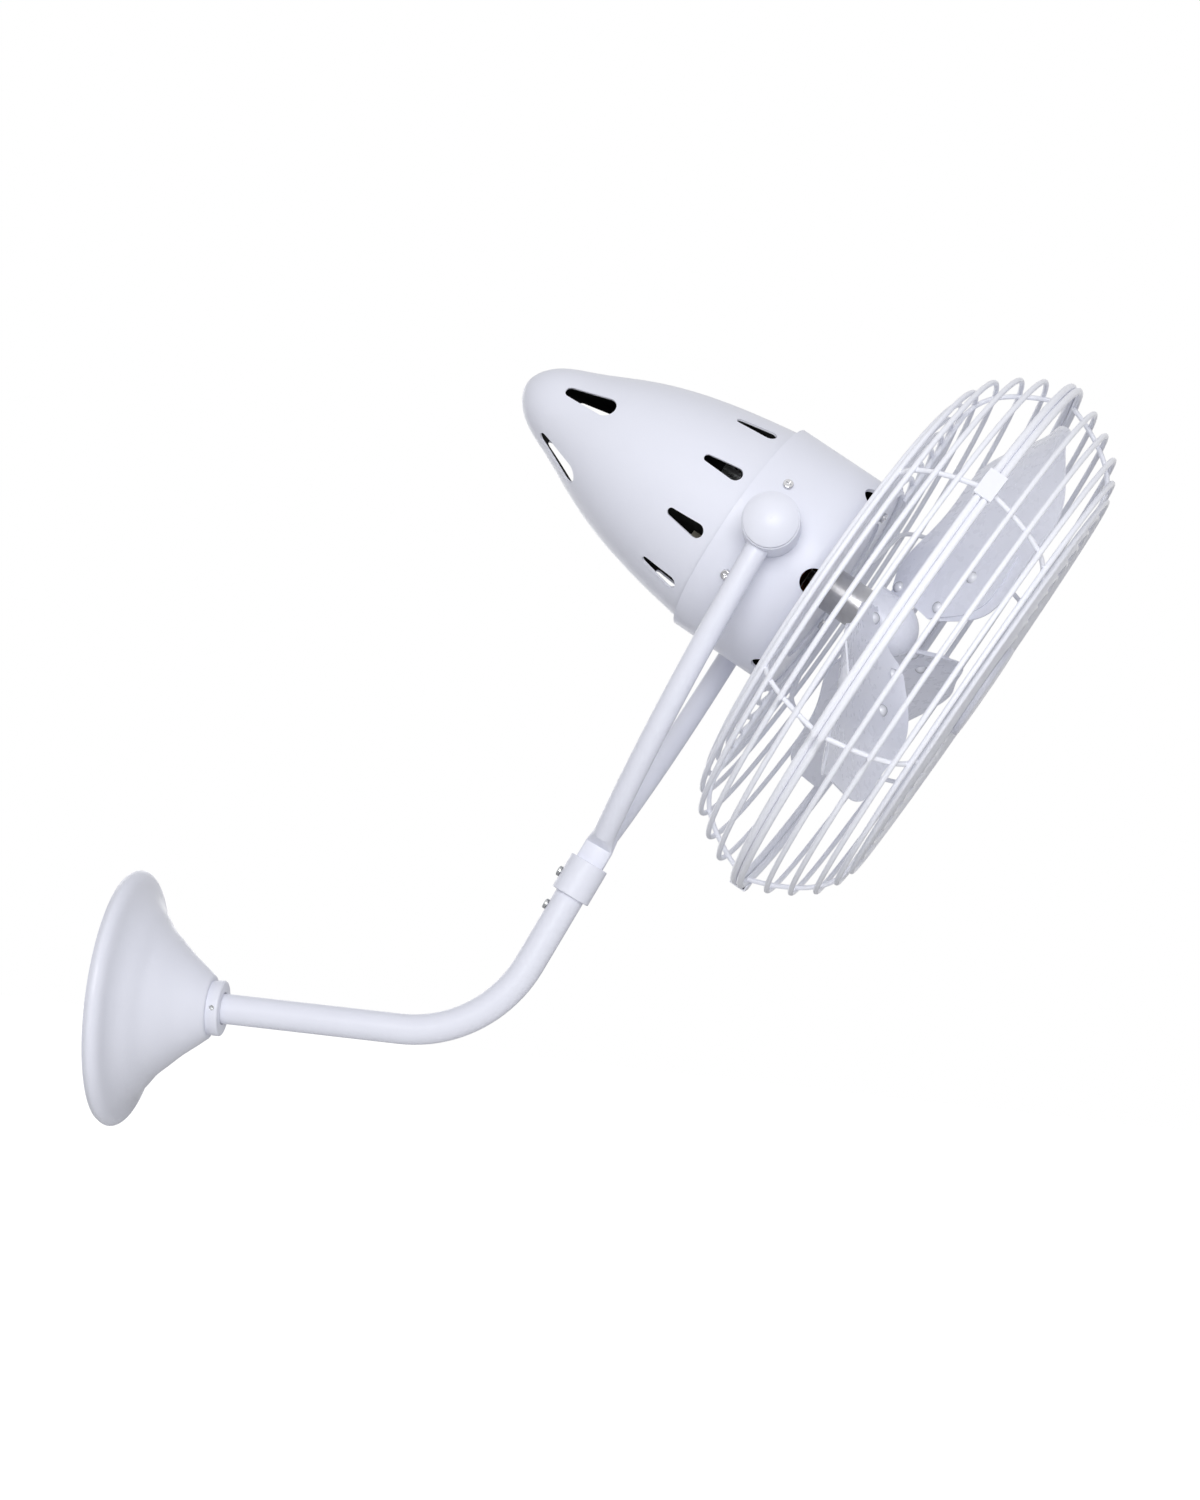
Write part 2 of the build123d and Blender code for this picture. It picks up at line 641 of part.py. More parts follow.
band_bore = BAND_RADIUS - BAND_WALL
lip_radius = band_bore - LIP_FIT
lip_bore = lip_radius - HOUSING_WALL
face_back = FACE_A - BAND_WALL
shoulder_start = FACE_A - SHOULDER_RADIUS
inner_shoulder = SHOULDER_RADIUS - BAND_WALL

# outer curve of the rear housing: radius, a
rear_curve = [
    (0.0, NOSE_A),
    (18.2, NOSE_A + 9.5),
    (33.5, NOSE_A + 38.0),
    (50.6, NOSE_A + 75.4),
    (SEAM_RADIUS - 8.6, SEAM_A - 50.0),
    (SEAM_RADIUS, SEAM_A),
]
rear_inner = inset(rear_curve, HOUSING_WALL)
rear_inner[0] = (0.0, NOSE_A + HOUSING_WALL)
rear_inner[-1] = (SEAM_RADIUS - HOUSING_WALL, SEAM_A)

band_screw_angles = [90 + PHASE + turn for turn in BAND_SCREW_OFFSETS]
band_screw_angles += [180 + angle for angle in band_screw_angles]
band_screw_planes = [around_head(BAND_SCREW_A, BAND_RADIUS, angle) for angle in band_screw_angles]

with BuildSketch() as seam_vent:
    with Locations((SEAM_VENT_BACK_A + SEAM_VENT_SMALL, 0)):
        Circle(SEAM_VENT_SMALL)
    with Locations((SEAM_VENT_FRONT_A - SEAM_VENT_LARGE, 0)):
        Circle(SEAM_VENT_LARGE)
    make_hull()

with BuildSketch() as nose_vent:
    with Locations((NOSE_VENT_BACK_A + NOSE_VENT_SMALL, 0)):
        Circle(NOSE_VENT_SMALL)
    with Locations((NOSE_VENT_FRONT_A - NOSE_VENT_LARGE, 0)):
        Circle(NOSE_VENT_LARGE)
    make_hull()

seam_vent_angles = [PHASE + 360 * k / SEAM_VENT_COUNT for k in range(SEAM_VENT_COUNT)]
nose_vent_angles = [PHASE + 360 * k / NOSE_VENT_COUNT for k in range(NOSE_VENT_COUNT)]

with BuildPart() as rear_housing:
    with BuildSketch(HEAD_SECTION):
        with BuildLine():
            Spline(rear_curve, tangents=[(1, 0), (0.15, 1)], tangent_scalars=[1, 1])
            Polyline(rear_curve[-1], (lip_radius, SEAM_A), (lip_radius, LIP_END_A), (lip_bore, LIP_END_A),
                     (lip_bore, SEAM_A), rear_inner[-1])
            Spline(rear_inner, tangents=[(1, 0), (0.15, 1)], tangent_scalars=[1, 1])
            Line(rear_inner[0], rear_curve[0])
        make_face()
    revolve(axis=HEAD_AXIS)
    with BuildSketch(*[around_head(0, SEAM_RADIUS / 2, angle) for angle in seam_vent_angles]):
        add(seam_vent.sketch)
    extrude(amount=SEAM_RADIUS, mode=Mode.SUBTRACT)
    with BuildSketch(*[around_head(0, NOSE_VENT_LARGE, angle) for angle in nose_vent_angles]):
        add(nose_vent.sketch)
    extrude(amount=SEAM_RADIUS, mode=Mode.SUBTRACT)
    with BuildSketch(side_plane(-SEAM_RADIUS / 2), side_plane(SEAM_RADIUS / 2)):
        Circle(bushing_radius + 1)
    extrude(amount=SEAM_RADIUS, mode=Mode.SUBTRACT)
    with BuildSketch(*band_screw_planes):
        Circle(SCREW_RADIUS)
    extrude(amount=-BAND_RADIUS / 4, mode=Mode.SUBTRACT)
finish(rear_housing, "rear_housing")

moon_centre = MOON_BACK_A + MOON_RADIUS
moon_angles = [MOON_PHASE + 360 * k / MOON_COUNT for k in range(MOON_COUNT)]

with BuildSketch() as moon_vent:
    with Locations((moon_centre, 0)):
        Circle(MOON_RADIUS)
    with Locations((MOON_FRONT_A + MOON_RADIUS, 0)):
        Rectangle(2 * MOON_RADIUS, 2 * MOON_RADIUS, mode=Mode.SUBTRACT)

with BuildPart() as front_housing:
    with BuildSketch(HEAD_SECTION):
        with BuildLine():
            Line((BAND_RADIUS, SEAM_A), (BAND_RADIUS, shoulder_start))
            CenterArc((BAND_RADIUS - SHOULDER_RADIUS, shoulder_start), SHOULDER_RADIUS, 0, 90)
            Polyline((BAND_RADIUS - SHOULDER_RADIUS, FACE_A), (NOSEPIECE_RADIUS, FACE_A),
                     (NOSEPIECE_RADIUS, face_back), (BAND_RADIUS - SHOULDER_RADIUS, face_back))
            CenterArc((BAND_RADIUS - SHOULDER_RADIUS, shoulder_start), inner_shoulder, 0, 90)
            Polyline((band_bore, shoulder_start), (band_bore, SEAM_A), (BAND_RADIUS, SEAM_A))
        make_face()
    revolve(axis=HEAD_AXIS)
    with BuildSketch(head_plane(STACK_LENGTH / 2)):
        with PolarLocations(THROUGH_BOLT_CIRCLE, THROUGH_BOLT_COUNT, start_angle=THROUGH_BOLT_PHASE):
            Circle(POST_RADIUS)
    extrude(amount=face_back - STACK_LENGTH / 2)
    with BuildSketch(head_plane(STACK_LENGTH / 2)):
        with PolarLocations(THROUGH_BOLT_CIRCLE, THROUGH_BOLT_COUNT, start_angle=THROUGH_BOLT_PHASE):
            Circle(THROUGH_BOLT_RADIUS)
    extrude(amount=(face_back - STACK_LENGTH / 2) / 2, mode=Mode.SUBTRACT)
    with BuildSketch(*[around_head(0, BAND_RADIUS - SHOULDER_RADIUS, angle) for angle in moon_angles]):
        add(moon_vent.sketch)
    extrude(amount=2 * SHOULDER_RADIUS, mode=Mode.SUBTRACT)
    with BuildSketch(head_plane(face_back)):
        for k in range(FACE_SLOT_COUNT):
            middle = polar(FACE_SLOT_PHASE + 360 * k / FACE_SLOT_COUNT)
            SlotArc(CenterArc((0, 0), FACE_SLOT_RADIUS, middle - FACE_SLOT_SPAN / 2, FACE_SLOT_SPAN),
                    FACE_SLOT_WIDTH)
        with PolarLocations(GUARD_SCREW_CIRCLE, GUARD_SCREW_COUNT, start_angle=polar(GUARD_SCREW_PHASE)):
            Circle(SCREW_RADIUS)
    extrude(amount=BAND_WALL, mode=Mode.SUBTRACT)
    with BuildSketch(side_plane(-band_bore / 2), side_plane(band_bore / 2)):
        Circle(bushing_radius)
    extrude(amount=band_bore, mode=Mode.SUBTRACT)
    with BuildSketch(*band_screw_planes):
        Circle(SCREW_RADIUS)
    extrude(amount=-BAND_RADIUS / 4, mode=Mode.SUBTRACT)
finish(front_housing, "front_housing")

cross_screws("band_screws", band_screw_planes, BAND_RADIUS - lip_bore)

for side, sign in (("left", -1), ("right", 1)):
    with BuildPart() as pivot_saddle:
        with BuildSketch(side_plane(sign * (band_bore - 4))):
            Circle(BOSS_RADIUS - 3)
        extrude(amount=saddle_face - band_bore + 4)
        with BuildSketch(head_plane(-BOSS_RADIUS)):
            Circle(BAND_RADIUS)
        extrude(amount=2 * BOSS_RADIUS, mode=Mode.SUBTRACT)
        with BuildSketch(side_plane(sign * (band_bore - 4))):
            Circle(bushing_radius)
        extrude(amount=band_bore, mode=Mode.SUBTRACT)
    finish(pivot_saddle, f"pivot_saddle_{side}")

    with BuildPart() as pivot_bushing:
        with BuildSketch(side_plane(sign * bushing_inner)):
            Circle(bushing_radius)
            Circle(BOLT_RADIUS + PIVOT_FIT, mode=Mode.SUBTRACT)
        extrude(amount=saddle_face - bushing_inner)
    finish(pivot_bushing, f"pivot_bushing_{side}")

# ---------------------------------------------------------------- motor

stack_back = -STACK_LENGTH / 2
bracket_back = BRACKET_A - BRACKET_THICK
pocket_back = BRACKET_A - BEARING_WIDTH
boss_back = pocket_back - BRACKET_THICK
nose_bearing_a = NOSEPIECE_END_A - BEARING_WIDTH - 7.0
bearing_lip = SHAFT_RADIUS + 1.2

with BuildPart() as bearing_nosepiece:
    with BuildSketch(HEAD_SECTION):
        with BuildLine():
            Polyline((BEARING_RADIUS, face_back - 2), (NOSEPIECE_RADIUS + 5, face_back - 2),
                     (NOSEPIECE_RADIUS + 5, face_back), (NOSEPIECE_RADIUS, face_back),
                     (NOSEPIECE_RADIUS, NOSEPIECE_END_A), (bearing_lip, NOSEPIECE_END_A),
                     (bearing_lip, nose_bearing_a + BEARING_WIDTH),
                     (BEARING_RADIUS, nose_bearing_a + BEARING_WIDTH), (BEARING_RADIUS, face_back - 2))
        make_face()
    revolve(axis=HEAD_AXIS)
finish(bearing_nosepiece, "bearing_nosepiece")

for place, start in (("front", nose_bearing_a), ("rear", pocket_back)):
    with BuildPart() as bearing:
        with BuildSketch(head_plane(start)):
            Circle(BEARING_RADIUS)
            Circle(SHAFT_RADIUS + PIVOT_FIT, mode=Mode.SUBTRACT)
        extrude(amount=BEARING_WIDTH)
        chamfer(bearing.edges().filter_by(GeomType.CIRCLE), 0.3)
    finish(bearing, f"{place}_bearing")

with BuildPart() as stator_core:
    with BuildSketch(head_plane(stack_back)):
        Circle(STATOR_RADIUS)
        Circle(STATOR_BORE, mode=Mode.SUBTRACT)
        with PolarLocations(STATOR_SLOT_CIRCLE, STATOR_SLOTS):
            Circle(STATOR_SLOT_RADIUS, mode=Mode.SUBTRACT)
        with PolarLocations(THROUGH_BOLT_CIRCLE, THROUGH_BOLT_COUNT, start_angle=THROUGH_BOLT_PHASE):
            Circle(THROUGH_BOLT_RADIUS, mode=Mode.SUBTRACT)
    extrude(amount=STACK_LENGTH)
finish(stator_core, "stator_core")

with BuildPart() as stator_windings:
    with BuildSketch(head_plane(-stack_back), head_plane(stack_back - WINDING_LENGTH)):
        Circle(WINDING_OUTER)
        Circle(WINDING_INNER, mode=Mode.SUBTRACT)
    extrude(amount=WINDING_LENGTH)
    fillet(stator_windings.edges().filter_by(GeomType.CIRCLE).group_by(Axis(PIVOT, HEAD_DIR))[0]
           + stator_windings.edges().filter_by(GeomType.CIRCLE).group_by(Axis(PIVOT, HEAD_DIR))[-1], 4)
    with BuildSketch(head_plane(stack_back)):
        with PolarLocations(STATOR_SLOT_CIRCLE, STATOR_SLOTS):
            Circle(STATOR_SLOT_RADIUS)
    extrude(amount=STACK_LENGTH)
finish(stator_windings, "stator_windings")

with BuildPart() as rear_bearing_bracket:
    with BuildSketch(HEAD_SECTION):
        with BuildLine():
            Polyline((STATOR_RADIUS, stack_back), (STATOR_RADIUS, bracket_back),
                     (BEARING_RADIUS + BRACKET_RIM_WALL, bracket_back),
                     (BEARING_RADIUS + BRACKET_RIM_WALL, boss_back), (bearing_lip, boss_back),
                     (bearing_lip, pocket_back), (BEARING_RADIUS, pocket_back),
                     (BEARING_RADIUS, BRACKET_A), (STATOR_RADIUS - BRACKET_RIM_WALL, BRACKET_A),
                     (STATOR_RADIUS - BRACKET_RIM_WALL, stack_back), (STATOR_RADIUS, stack_back))
        make_face()
    revolve(axis=HEAD_AXIS)
    with BuildSketch(head_plane(bracket_back)):
        with PolarLocations(THROUGH_BOLT_CIRCLE, THROUGH_BOLT_COUNT, start_angle=THROUGH_BOLT_PHASE):
            Circle(THROUGH_BOLT_RADIUS)
    extrude(amount=BRACKET_THICK, mode=Mode.SUBTRACT)
finish(rear_bearing_bracket, "rear_bearing_bracket")

through_bolt_planes = []
for k in range(THROUGH_BOLT_COUNT):
    turn = radians(THROUGH_BOLT_PHASE + 360 * k / THROUGH_BOLT_COUNT)
    offset_out = X_DIR * (THROUGH_BOLT_CIRCLE * cos(turn)) + HEAD_UP * (THROUGH_BOLT_CIRCLE * sin(turn))
    through_bolt_planes.append(Plane(origin=PIVOT + HEAD_DIR * bracket_back + offset_out,
                                     x_dir=X_DIR, z_dir=-HEAD_DIR))
cross_screws("through_bolts", through_bolt_planes, STACK_LENGTH / 2 - bracket_back + 9)

capacitor_back = bracket_back - CAPACITOR_LENGTH
clamp_back = bracket_back - CLAMP_REACH

with BuildPart() as run_capacitor:
    with BuildSketch(head_plane(capacitor_back)):
        with Locations((0, CAPACITOR_OFFSET)):
            Circle(CAPACITOR_RADIUS)
    extrude(amount=CAPACITOR_LENGTH)
    chamfer(run_capacitor.edges().filter_by(GeomType.CIRCLE), 1.2)
finish(run_capacitor, "run_capacitor")

with BuildPart() as capacitor_clamp:
    with BuildSketch(head_plane(clamp_back)):
        with Locations((0, CAPACITOR_OFFSET)):
            Circle(CAPACITOR_RADIUS + CLAMP_THICK)
            Circle(CAPACITOR_RADIUS, mode=Mode.SUBTRACT)
    extrude(amount=CLAMP_WIDTH)
    with BuildSketch(head_plane(clamp_back)):
        with Locations((0, CAPACITOR_OFFSET)):
            with GridLocations(2 * CAPACITOR_RADIUS + CLAMP_THICK, 0, 2, 1):
                Rectangle(CLAMP_THICK, 9)
            Circle(CAPACITOR_RADIUS, mode=Mode.SUBTRACT)
    extrude(amount=bracket_back - clamp_back)
finish(capacitor_clamp, "capacitor_clamp")

with BuildPart() as terminal_block:
    with BuildSketch(head_plane(bracket_back - TERMINAL_DEPTH)):
        with Locations((0, TERMINAL_OFFSET)):
            Rectangle(TERMINAL_WIDTH, TERMINAL_HEIGHT)
    extrude(amount=TERMINAL_DEPTH)
    with BuildSketch(head_plane(bracket_back - TERMINAL_DEPTH)):
        with Locations((0, TERMINAL_OFFSET)):
            with GridLocations(TERMINAL_WIDTH / 4, TERMINAL_HEIGHT / 2, 4, 2):
                Circle(1.6)
    extrude(amount=TERMINAL_DEPTH / 2, mode=Mode.SUBTRACT)
finish(terminal_block, "terminal_block")

lead_loop = capacitor_back - LEAD_LOOP

with BuildPart() as motor_leads:
    for lead_x in (-TERMINAL_WIDTH / 8, TERMINAL_WIDTH / 8):
        lead_section = Plane(origin=PIVOT + X_DIR * lead_x, x_dir=HEAD_UP, z_dir=HEAD_UP.cross(HEAD_DIR))
        with BuildLine(lead_section) as lead:
            FilletPolyline((CAPACITOR_OFFSET, capacitor_back), (CAPACITOR_OFFSET, lead_loop),
                           (TERMINAL_OFFSET, lead_loop), (TERMINAL_OFFSET, bracket_back - TERMINAL_DEPTH),
                           radius=8)
        with BuildSketch(Plane(origin=lead.line @ 0, z_dir=lead.line % 0)):
            Circle(MOTOR_LEAD_RADIUS)
        sweep(path=lead.wire())
finish(motor_leads, "motor_leads")

# ---------------------------------------------------------------- guards

corner_radius = RIM_RADIUS - FLAT_CORNER_INSET
rim_offset = RIM_WIRE_RADIUS + 0.05
rib_inset = WIRE_RADIUS + RIB_WIRE_RADIUS - RIB_SINK


def side_hoops(way):
    """Centres of one guard's hoops from the rim to the flat's corner: radius, a.

    way is 1 for the front guard, -1 for the rear.
    """
    hoops = [(RIM_RADIUS - inset_by, RIM_A + way * step) for step, inset_by in SIDE_STEPS]
    return hoops + [(corner_radius, RIM_A + way * FLAT_INSET)]


def rib_plane(angle):
    """The plane through the head's axis and one rib: local x is the radius, local y is a."""
    return Plane(origin=PIVOT, x_dir=spoke(angle), z_dir=spoke(angle).cross(HEAD_DIR))


def rib_line(way, inner_radius):
    """One rib just inside the hoops: straight along the flat, then tangent arcs out to the rim."""
    flat_a = RIM_A + way * (FLAT_INSET - rib_inset)
    run = Line((inner_radius, flat_a), (corner_radius - rib_inset, flat_a))
    ends = inset([(RIM_RADIUS, RIM_A + way * rim_offset)] + side_hoops(way), rib_inset)
    ends[0] = (RIM_RADIUS - RIM_WIRE_RADIUS - RIB_WIRE_RADIUS + RIB_SINK, RIM_A + way * rim_offset)
    for end in (ends[3], ends[2], ends[0]):
        run = TangentArc(run @ 1, end, tangent=run % 1)


def guard_wires(way, flat_count, inner_ring):
    """The hoops, the rim wire and the ribs of one guard, welded where they cross."""
    pitch = (corner_radius - inner_ring) / (flat_count - 1)
    flat_hoops = [(inner_ring + k * pitch, RIM_A + way * FLAT_INSET) for k in range(flat_count - 1)]
    with BuildPart() as wires:
        with BuildSketch(HEAD_SECTION):
            with Locations(*flat_hoops, *side_hoops(way)):
                Circle(WIRE_RADIUS)
            with Locations((RIM_RADIUS, RIM_A + way * rim_offset)):
                Circle(RIM_WIRE_RADIUS)
        revolve(axis=HEAD_AXIS)
        for angle in RIB_ANGLES:
            with BuildLine(rib_plane(angle)) as rib:
                rib_line(way, inner_ring - WIRE_RADIUS)
            with BuildSketch(Plane(origin=rib.line @ 0, z_dir=rib.line % 0)):
                Circle(RIB_WIRE_RADIUS)
            sweep(path=rib.wire())
    return wires.part


with BuildPart() as rear_guard:
    with BuildSketch(head_plane(FACE_A)):
        Circle(MOUNT_RING_OUTER)
        Circle(MOUNT_RING_INNER, mode=Mode.SUBTRACT)
        with PolarLocations(GUARD_SCREW_CIRCLE, GUARD_SCREW_COUNT, start_angle=polar(GUARD_SCREW_PHASE)):
            Circle(SCREW_RADIUS, mode=Mode.SUBTRACT)
    extrude(amount=MOUNT_RING_THICK)
    add(guard_wires(-1, REAR_FLAT_RINGS, MOUNT_RING_OUTER - REAR_RING_OVERLAP))
finish(rear_guard, "rear_guard")

guard_screw_planes = []
for k in range(GUARD_SCREW_COUNT):
    seat = head_plane(FACE_A + MOUNT_RING_THICK)
    seat.origin += spoke(GUARD_SCREW_PHASE + 360 * k / GUARD_SCREW_COUNT) * GUARD_SCREW_CIRCLE
    guard_screw_planes.append(seat)
cross_screws("guard_screws", guard_screw_planes, MOUNT_RING_THICK + BAND_WALL)

with BuildPart() as front_guard:
    add(guard_wires(1, FRONT_FLAT_RINGS, FRONT_INNER_RING))
finish(front_guard, "front_guard")

badge_back = RIM_A + FLAT_INSET + WIRE_RADIUS

with BuildPart() as centre_badge:
    with BuildSketch(head_plane(badge_back)):
        Circle(BADGE_RADIUS)
    extrude(amount=BADGE_THICK)
    fillet(centre_badge.edges().group_by(Axis(PIVOT, HEAD_DIR))[-1], BADGE_THICK * 0.6)
finish(centre_badge, "centre_badge")

clip_half = 2 * rim_offset
with BuildPart() as guard_clips:
    for angle in CLIP_ANGLES:
        with BuildSketch(rib_plane(angle)):
            with Locations((RIM_RADIUS + RIM_WIRE_RADIUS / 4 + CLIP_WALL / 2, RIM_A)):
                Rectangle(1.5 * RIM_WIRE_RADIUS + CLIP_WALL, 2 * (clip_half + CLIP_WALL))
            with Locations((RIM_RADIUS + RIM_WIRE_RADIUS / 4, RIM_A)):
                Rectangle(1.5 * RIM_WIRE_RADIUS, 2 * clip_half, mode=Mode.SUBTRACT)
        extrude(amount=CLIP_LENGTH / 2, both=True)
finish(guard_clips, "guard_clips")

# ---------------------------------------------------------------- rotor

with BuildPart() as motor_shaft:
    with BuildSketch(head_plane(SHAFT_BACK_A)):
        Circle(SHAFT_RADIUS)
    extrude(amount=HUB_BACK_A + HUB_BORE_DEPTH - SHAFT_BACK_A)
    chamfer(motor_shaft.edges().filter_by(GeomType.CIRCLE), 0.6)
finish(motor_shaft, "motor_shaft")

with BuildPart() as rotor_core:
    with BuildSketch(head_plane(-STACK_LENGTH / 2 - 3)):
        Circle(STATOR_BORE - AIR_GAP)
        Circle(SHAFT_RADIUS, mode=Mode.SUBTRACT)
    extrude(amount=STACK_LENGTH + 6)
finish(rotor_core, "rotor_core")

dome_start = HUB_BACK_A + HUB_LENGTH - HUB_DOME
hub_screw_a = HUB_BACK_A + 9.0
hub_screw_angle = BLADE_PHASE + 180

with BuildPart() as blade_hub:
    with BuildSketch(HEAD_SECTION):
        with BuildLine():
            dome = Bezier((HUB_RADIUS, dome_start), (HUB_RADIUS, dome_start + HUB_DOME * 0.55),
                          (HUB_RADIUS * 0.55, dome_start + HUB_DOME), (0, dome_start + HUB_DOME))
            Polyline(dome @ 1, (0, HUB_BACK_A), (HUB_RADIUS, HUB_BACK_A), dome @ 0)
        make_face()
    revolve(axis=HEAD_AXIS)
    fillet(blade_hub.edges().group_by(Axis(PIVOT, HEAD_DIR))[0], 1.5)
    with BuildSketch(head_plane(HUB_BACK_A)):
        Circle(SHAFT_RADIUS)
    extrude(amount=HUB_BORE_DEPTH, mode=Mode.SUBTRACT)
    with BuildSketch(around_head(hub_screw_a, 0, hub_screw_angle)):
        Circle(SCREW_RADIUS)
    extrude(amount=HUB_RADIUS + 1, mode=Mode.SUBTRACT)
finish(blade_hub, "blade_hub")

with BuildPart() as hub_set_screw:
    with BuildSketch(around_head(hub_screw_a, SHAFT_RADIUS, hub_screw_angle)):
        Circle(SCREW_RADIUS)
    extrude(amount=HUB_RADIUS - SHAFT_RADIUS - 1)
    with BuildSketch(around_head(hub_screw_a, HUB_RADIUS - 1, hub_screw_angle)):
        RegularPolygon(SCREW_RADIUS * 0.5, 6)
    extrude(amount=-2.5, mode=Mode.SUBTRACT)
finish(hub_set_screw, "hub_set_screw")

station_radii = [station[0] for station in BLADE_STATIONS]


def between(radius, column):
    """A blade value at a radius, read along straight lines between the stations."""
    upper = next((k for k, known in enumerate(station_radii) if known >= radius), len(station_radii) - 1)
    upper = max(upper, 1)
    low, high = BLADE_STATIONS[upper - 1], BLADE_STATIONS[upper]
    share = (radius - low[0]) / (high[0] - low[0])
    return low[column] + share * (high[column] - low[column])


def chord_plane(radius, angle):
    """The plane of a blade section: local x runs along the chord, forwards, and z outwards."""
    pitch = radians(between(radius, 2))
    outwards = spoke(angle)
    along = spoke(angle + 90) * cos(pitch) + HEAD_DIR * sin(pitch)
    spine = PIVOT + HEAD_DIR * between(radius, 3) + outwards * radius
    return Plane(origin=spine + along * between(radius, 4), x_dir=along, z_dir=outwards)


def bow(radius):
    """Radius of the camber's arc at a blade section, and the depth of that arc."""
    chord = between(radius, 1)
    sag = BLADE_CAMBER * chord
    return (chord ** 2 / 4 + sag ** 2) / (2 * sag), sag


def cambered(radius, angle, share, thick, lift):
    """A thin section curved with the blade, over a share of its chord, lifted off its face."""
    curve, sag = bow(radius)
    half = degrees(asin(share * between(radius, 1) / 2 / curve))
    centre = (0, curve - sag)
    with BuildSketch(chord_plane(radius, angle)) as section:
        with BuildLine():
            outer = CenterArc(centre, curve - lift, 270 - half, 2 * half)
            inner = CenterArc(centre, curve - lift - thick, 270 - half, 2 * half)
            Line(outer @ 0, inner @ 0)
            Line(outer @ 1, inner @ 1)
        make_face()
    return section.sketch


def rivet_plane(radius, along, angle):
    """The plane on the blade's front face at one rivet, with its normal forwards."""
    curve, sag = bow(radius)
    swing = asin(along / curve)
    base = chord_plane(radius, angle)
    centre = base.from_local_coords(Vector(0, curve - sag))
    normal = base.y_dir * cos(swing) - base.x_dir * sin(swing)
    return Plane(origin=centre - normal * (curve - BLADE_THICK), x_dir=base.z_dir, z_dir=normal)


rivet_grip = BLADE_THICK + IRON_THICK
iron_slant = radians(IRON_END_SLANT)
straight_length = station_radii[-1] - BLADE_TIP_ROUND - BLADE_START_RADIUS

with BuildPart() as rivet:
    with BuildSketch(Plane.XZ):
        with BuildLine():
            front_head = TangentArc((0, RIVET_HEAD), (RIVET_RADIUS, 0), tangent=(1, 0))
            rear_head = TangentArc((0, -rivet_grip - RIVET_HEAD), (RIVET_RADIUS, -rivet_grip), tangent=(1, 0))
            Polyline(front_head @ 1, (RIVET_SHANK, 0), (RIVET_SHANK, -rivet_grip), rear_head @ 1)
            Line(front_head @ 0, rear_head @ 0)
        make_face()
    revolve(axis=Axis.Z)

rivet_seats = []
for number in range(1, BLADE_COUNT + 1):
    angle = BLADE_PHASE + 360 * (number - 1) / BLADE_COUNT
    seats = [rivet_plane(radius, along, angle).location for radius, along in RIVET_PLACES]
    rivet_seats += seats

    with BuildPart() as blade:
        loft([cambered(radius, angle, 1.0, BLADE_THICK, 0) for radius in station_radii])
        tip = chord_plane(station_radii[-1], angle)
        with BuildSketch(Plane(origin=tip.origin, x_dir=tip.x_dir, z_dir=tip.x_dir.cross(tip.z_dir))):
            with Locations((BLADE_TIP_SHIFT, -BLADE_TIP_ROUND)):
                Ellipse(BLADE_TIP_HALF_WIDTH, BLADE_TIP_ROUND)
            with Locations((0, -BLADE_TIP_ROUND - straight_length / 2)):
                Rectangle(2 * station_radii[-1], straight_length)
        extrude(amount=station_radii[-1], both=True, mode=Mode.INTERSECT)
        with Locations(*seats):
            add(rivet.part, mode=Mode.SUBTRACT)
    finish(blade, f"blade_{number}")

    with BuildPart() as blade_iron:
        loft([cambered(radius, angle, IRON_SHARE, IRON_THICK + BLADE_THICK / 2, -IRON_THICK)
              for radius in station_radii])
        end = chord_plane(IRON_MIDDLE_RADIUS, angle)
        end_normal = end.z_dir * cos(iron_slant) - end.x_dir * sin(iron_slant)
        split(bisect_by=Plane(origin=end.origin, x_dir=end.y_dir, z_dir=end_normal), keep=Keep.BOTTOM)
        with BuildSketch(head_plane(0)):
            Circle(HUB_RADIUS)
        extrude(amount=BLADE_STATIONS[0][3] + BLADE_STATIONS[0][1], mode=Mode.SUBTRACT)
        add(blade.part, mode=Mode.SUBTRACT)
        with Locations(*seats):
            add(rivet.part, mode=Mode.SUBTRACT)
    finish(blade_iron, f"blade_iron_{number}")

with BuildPart() as blade_rivets:
    with Locations(*rivet_seats):
        add(rivet.part)
finish(blade_rivets, "blade_rivets")
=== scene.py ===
import json
import math

import bpy
from mathutils import Matrix, Vector


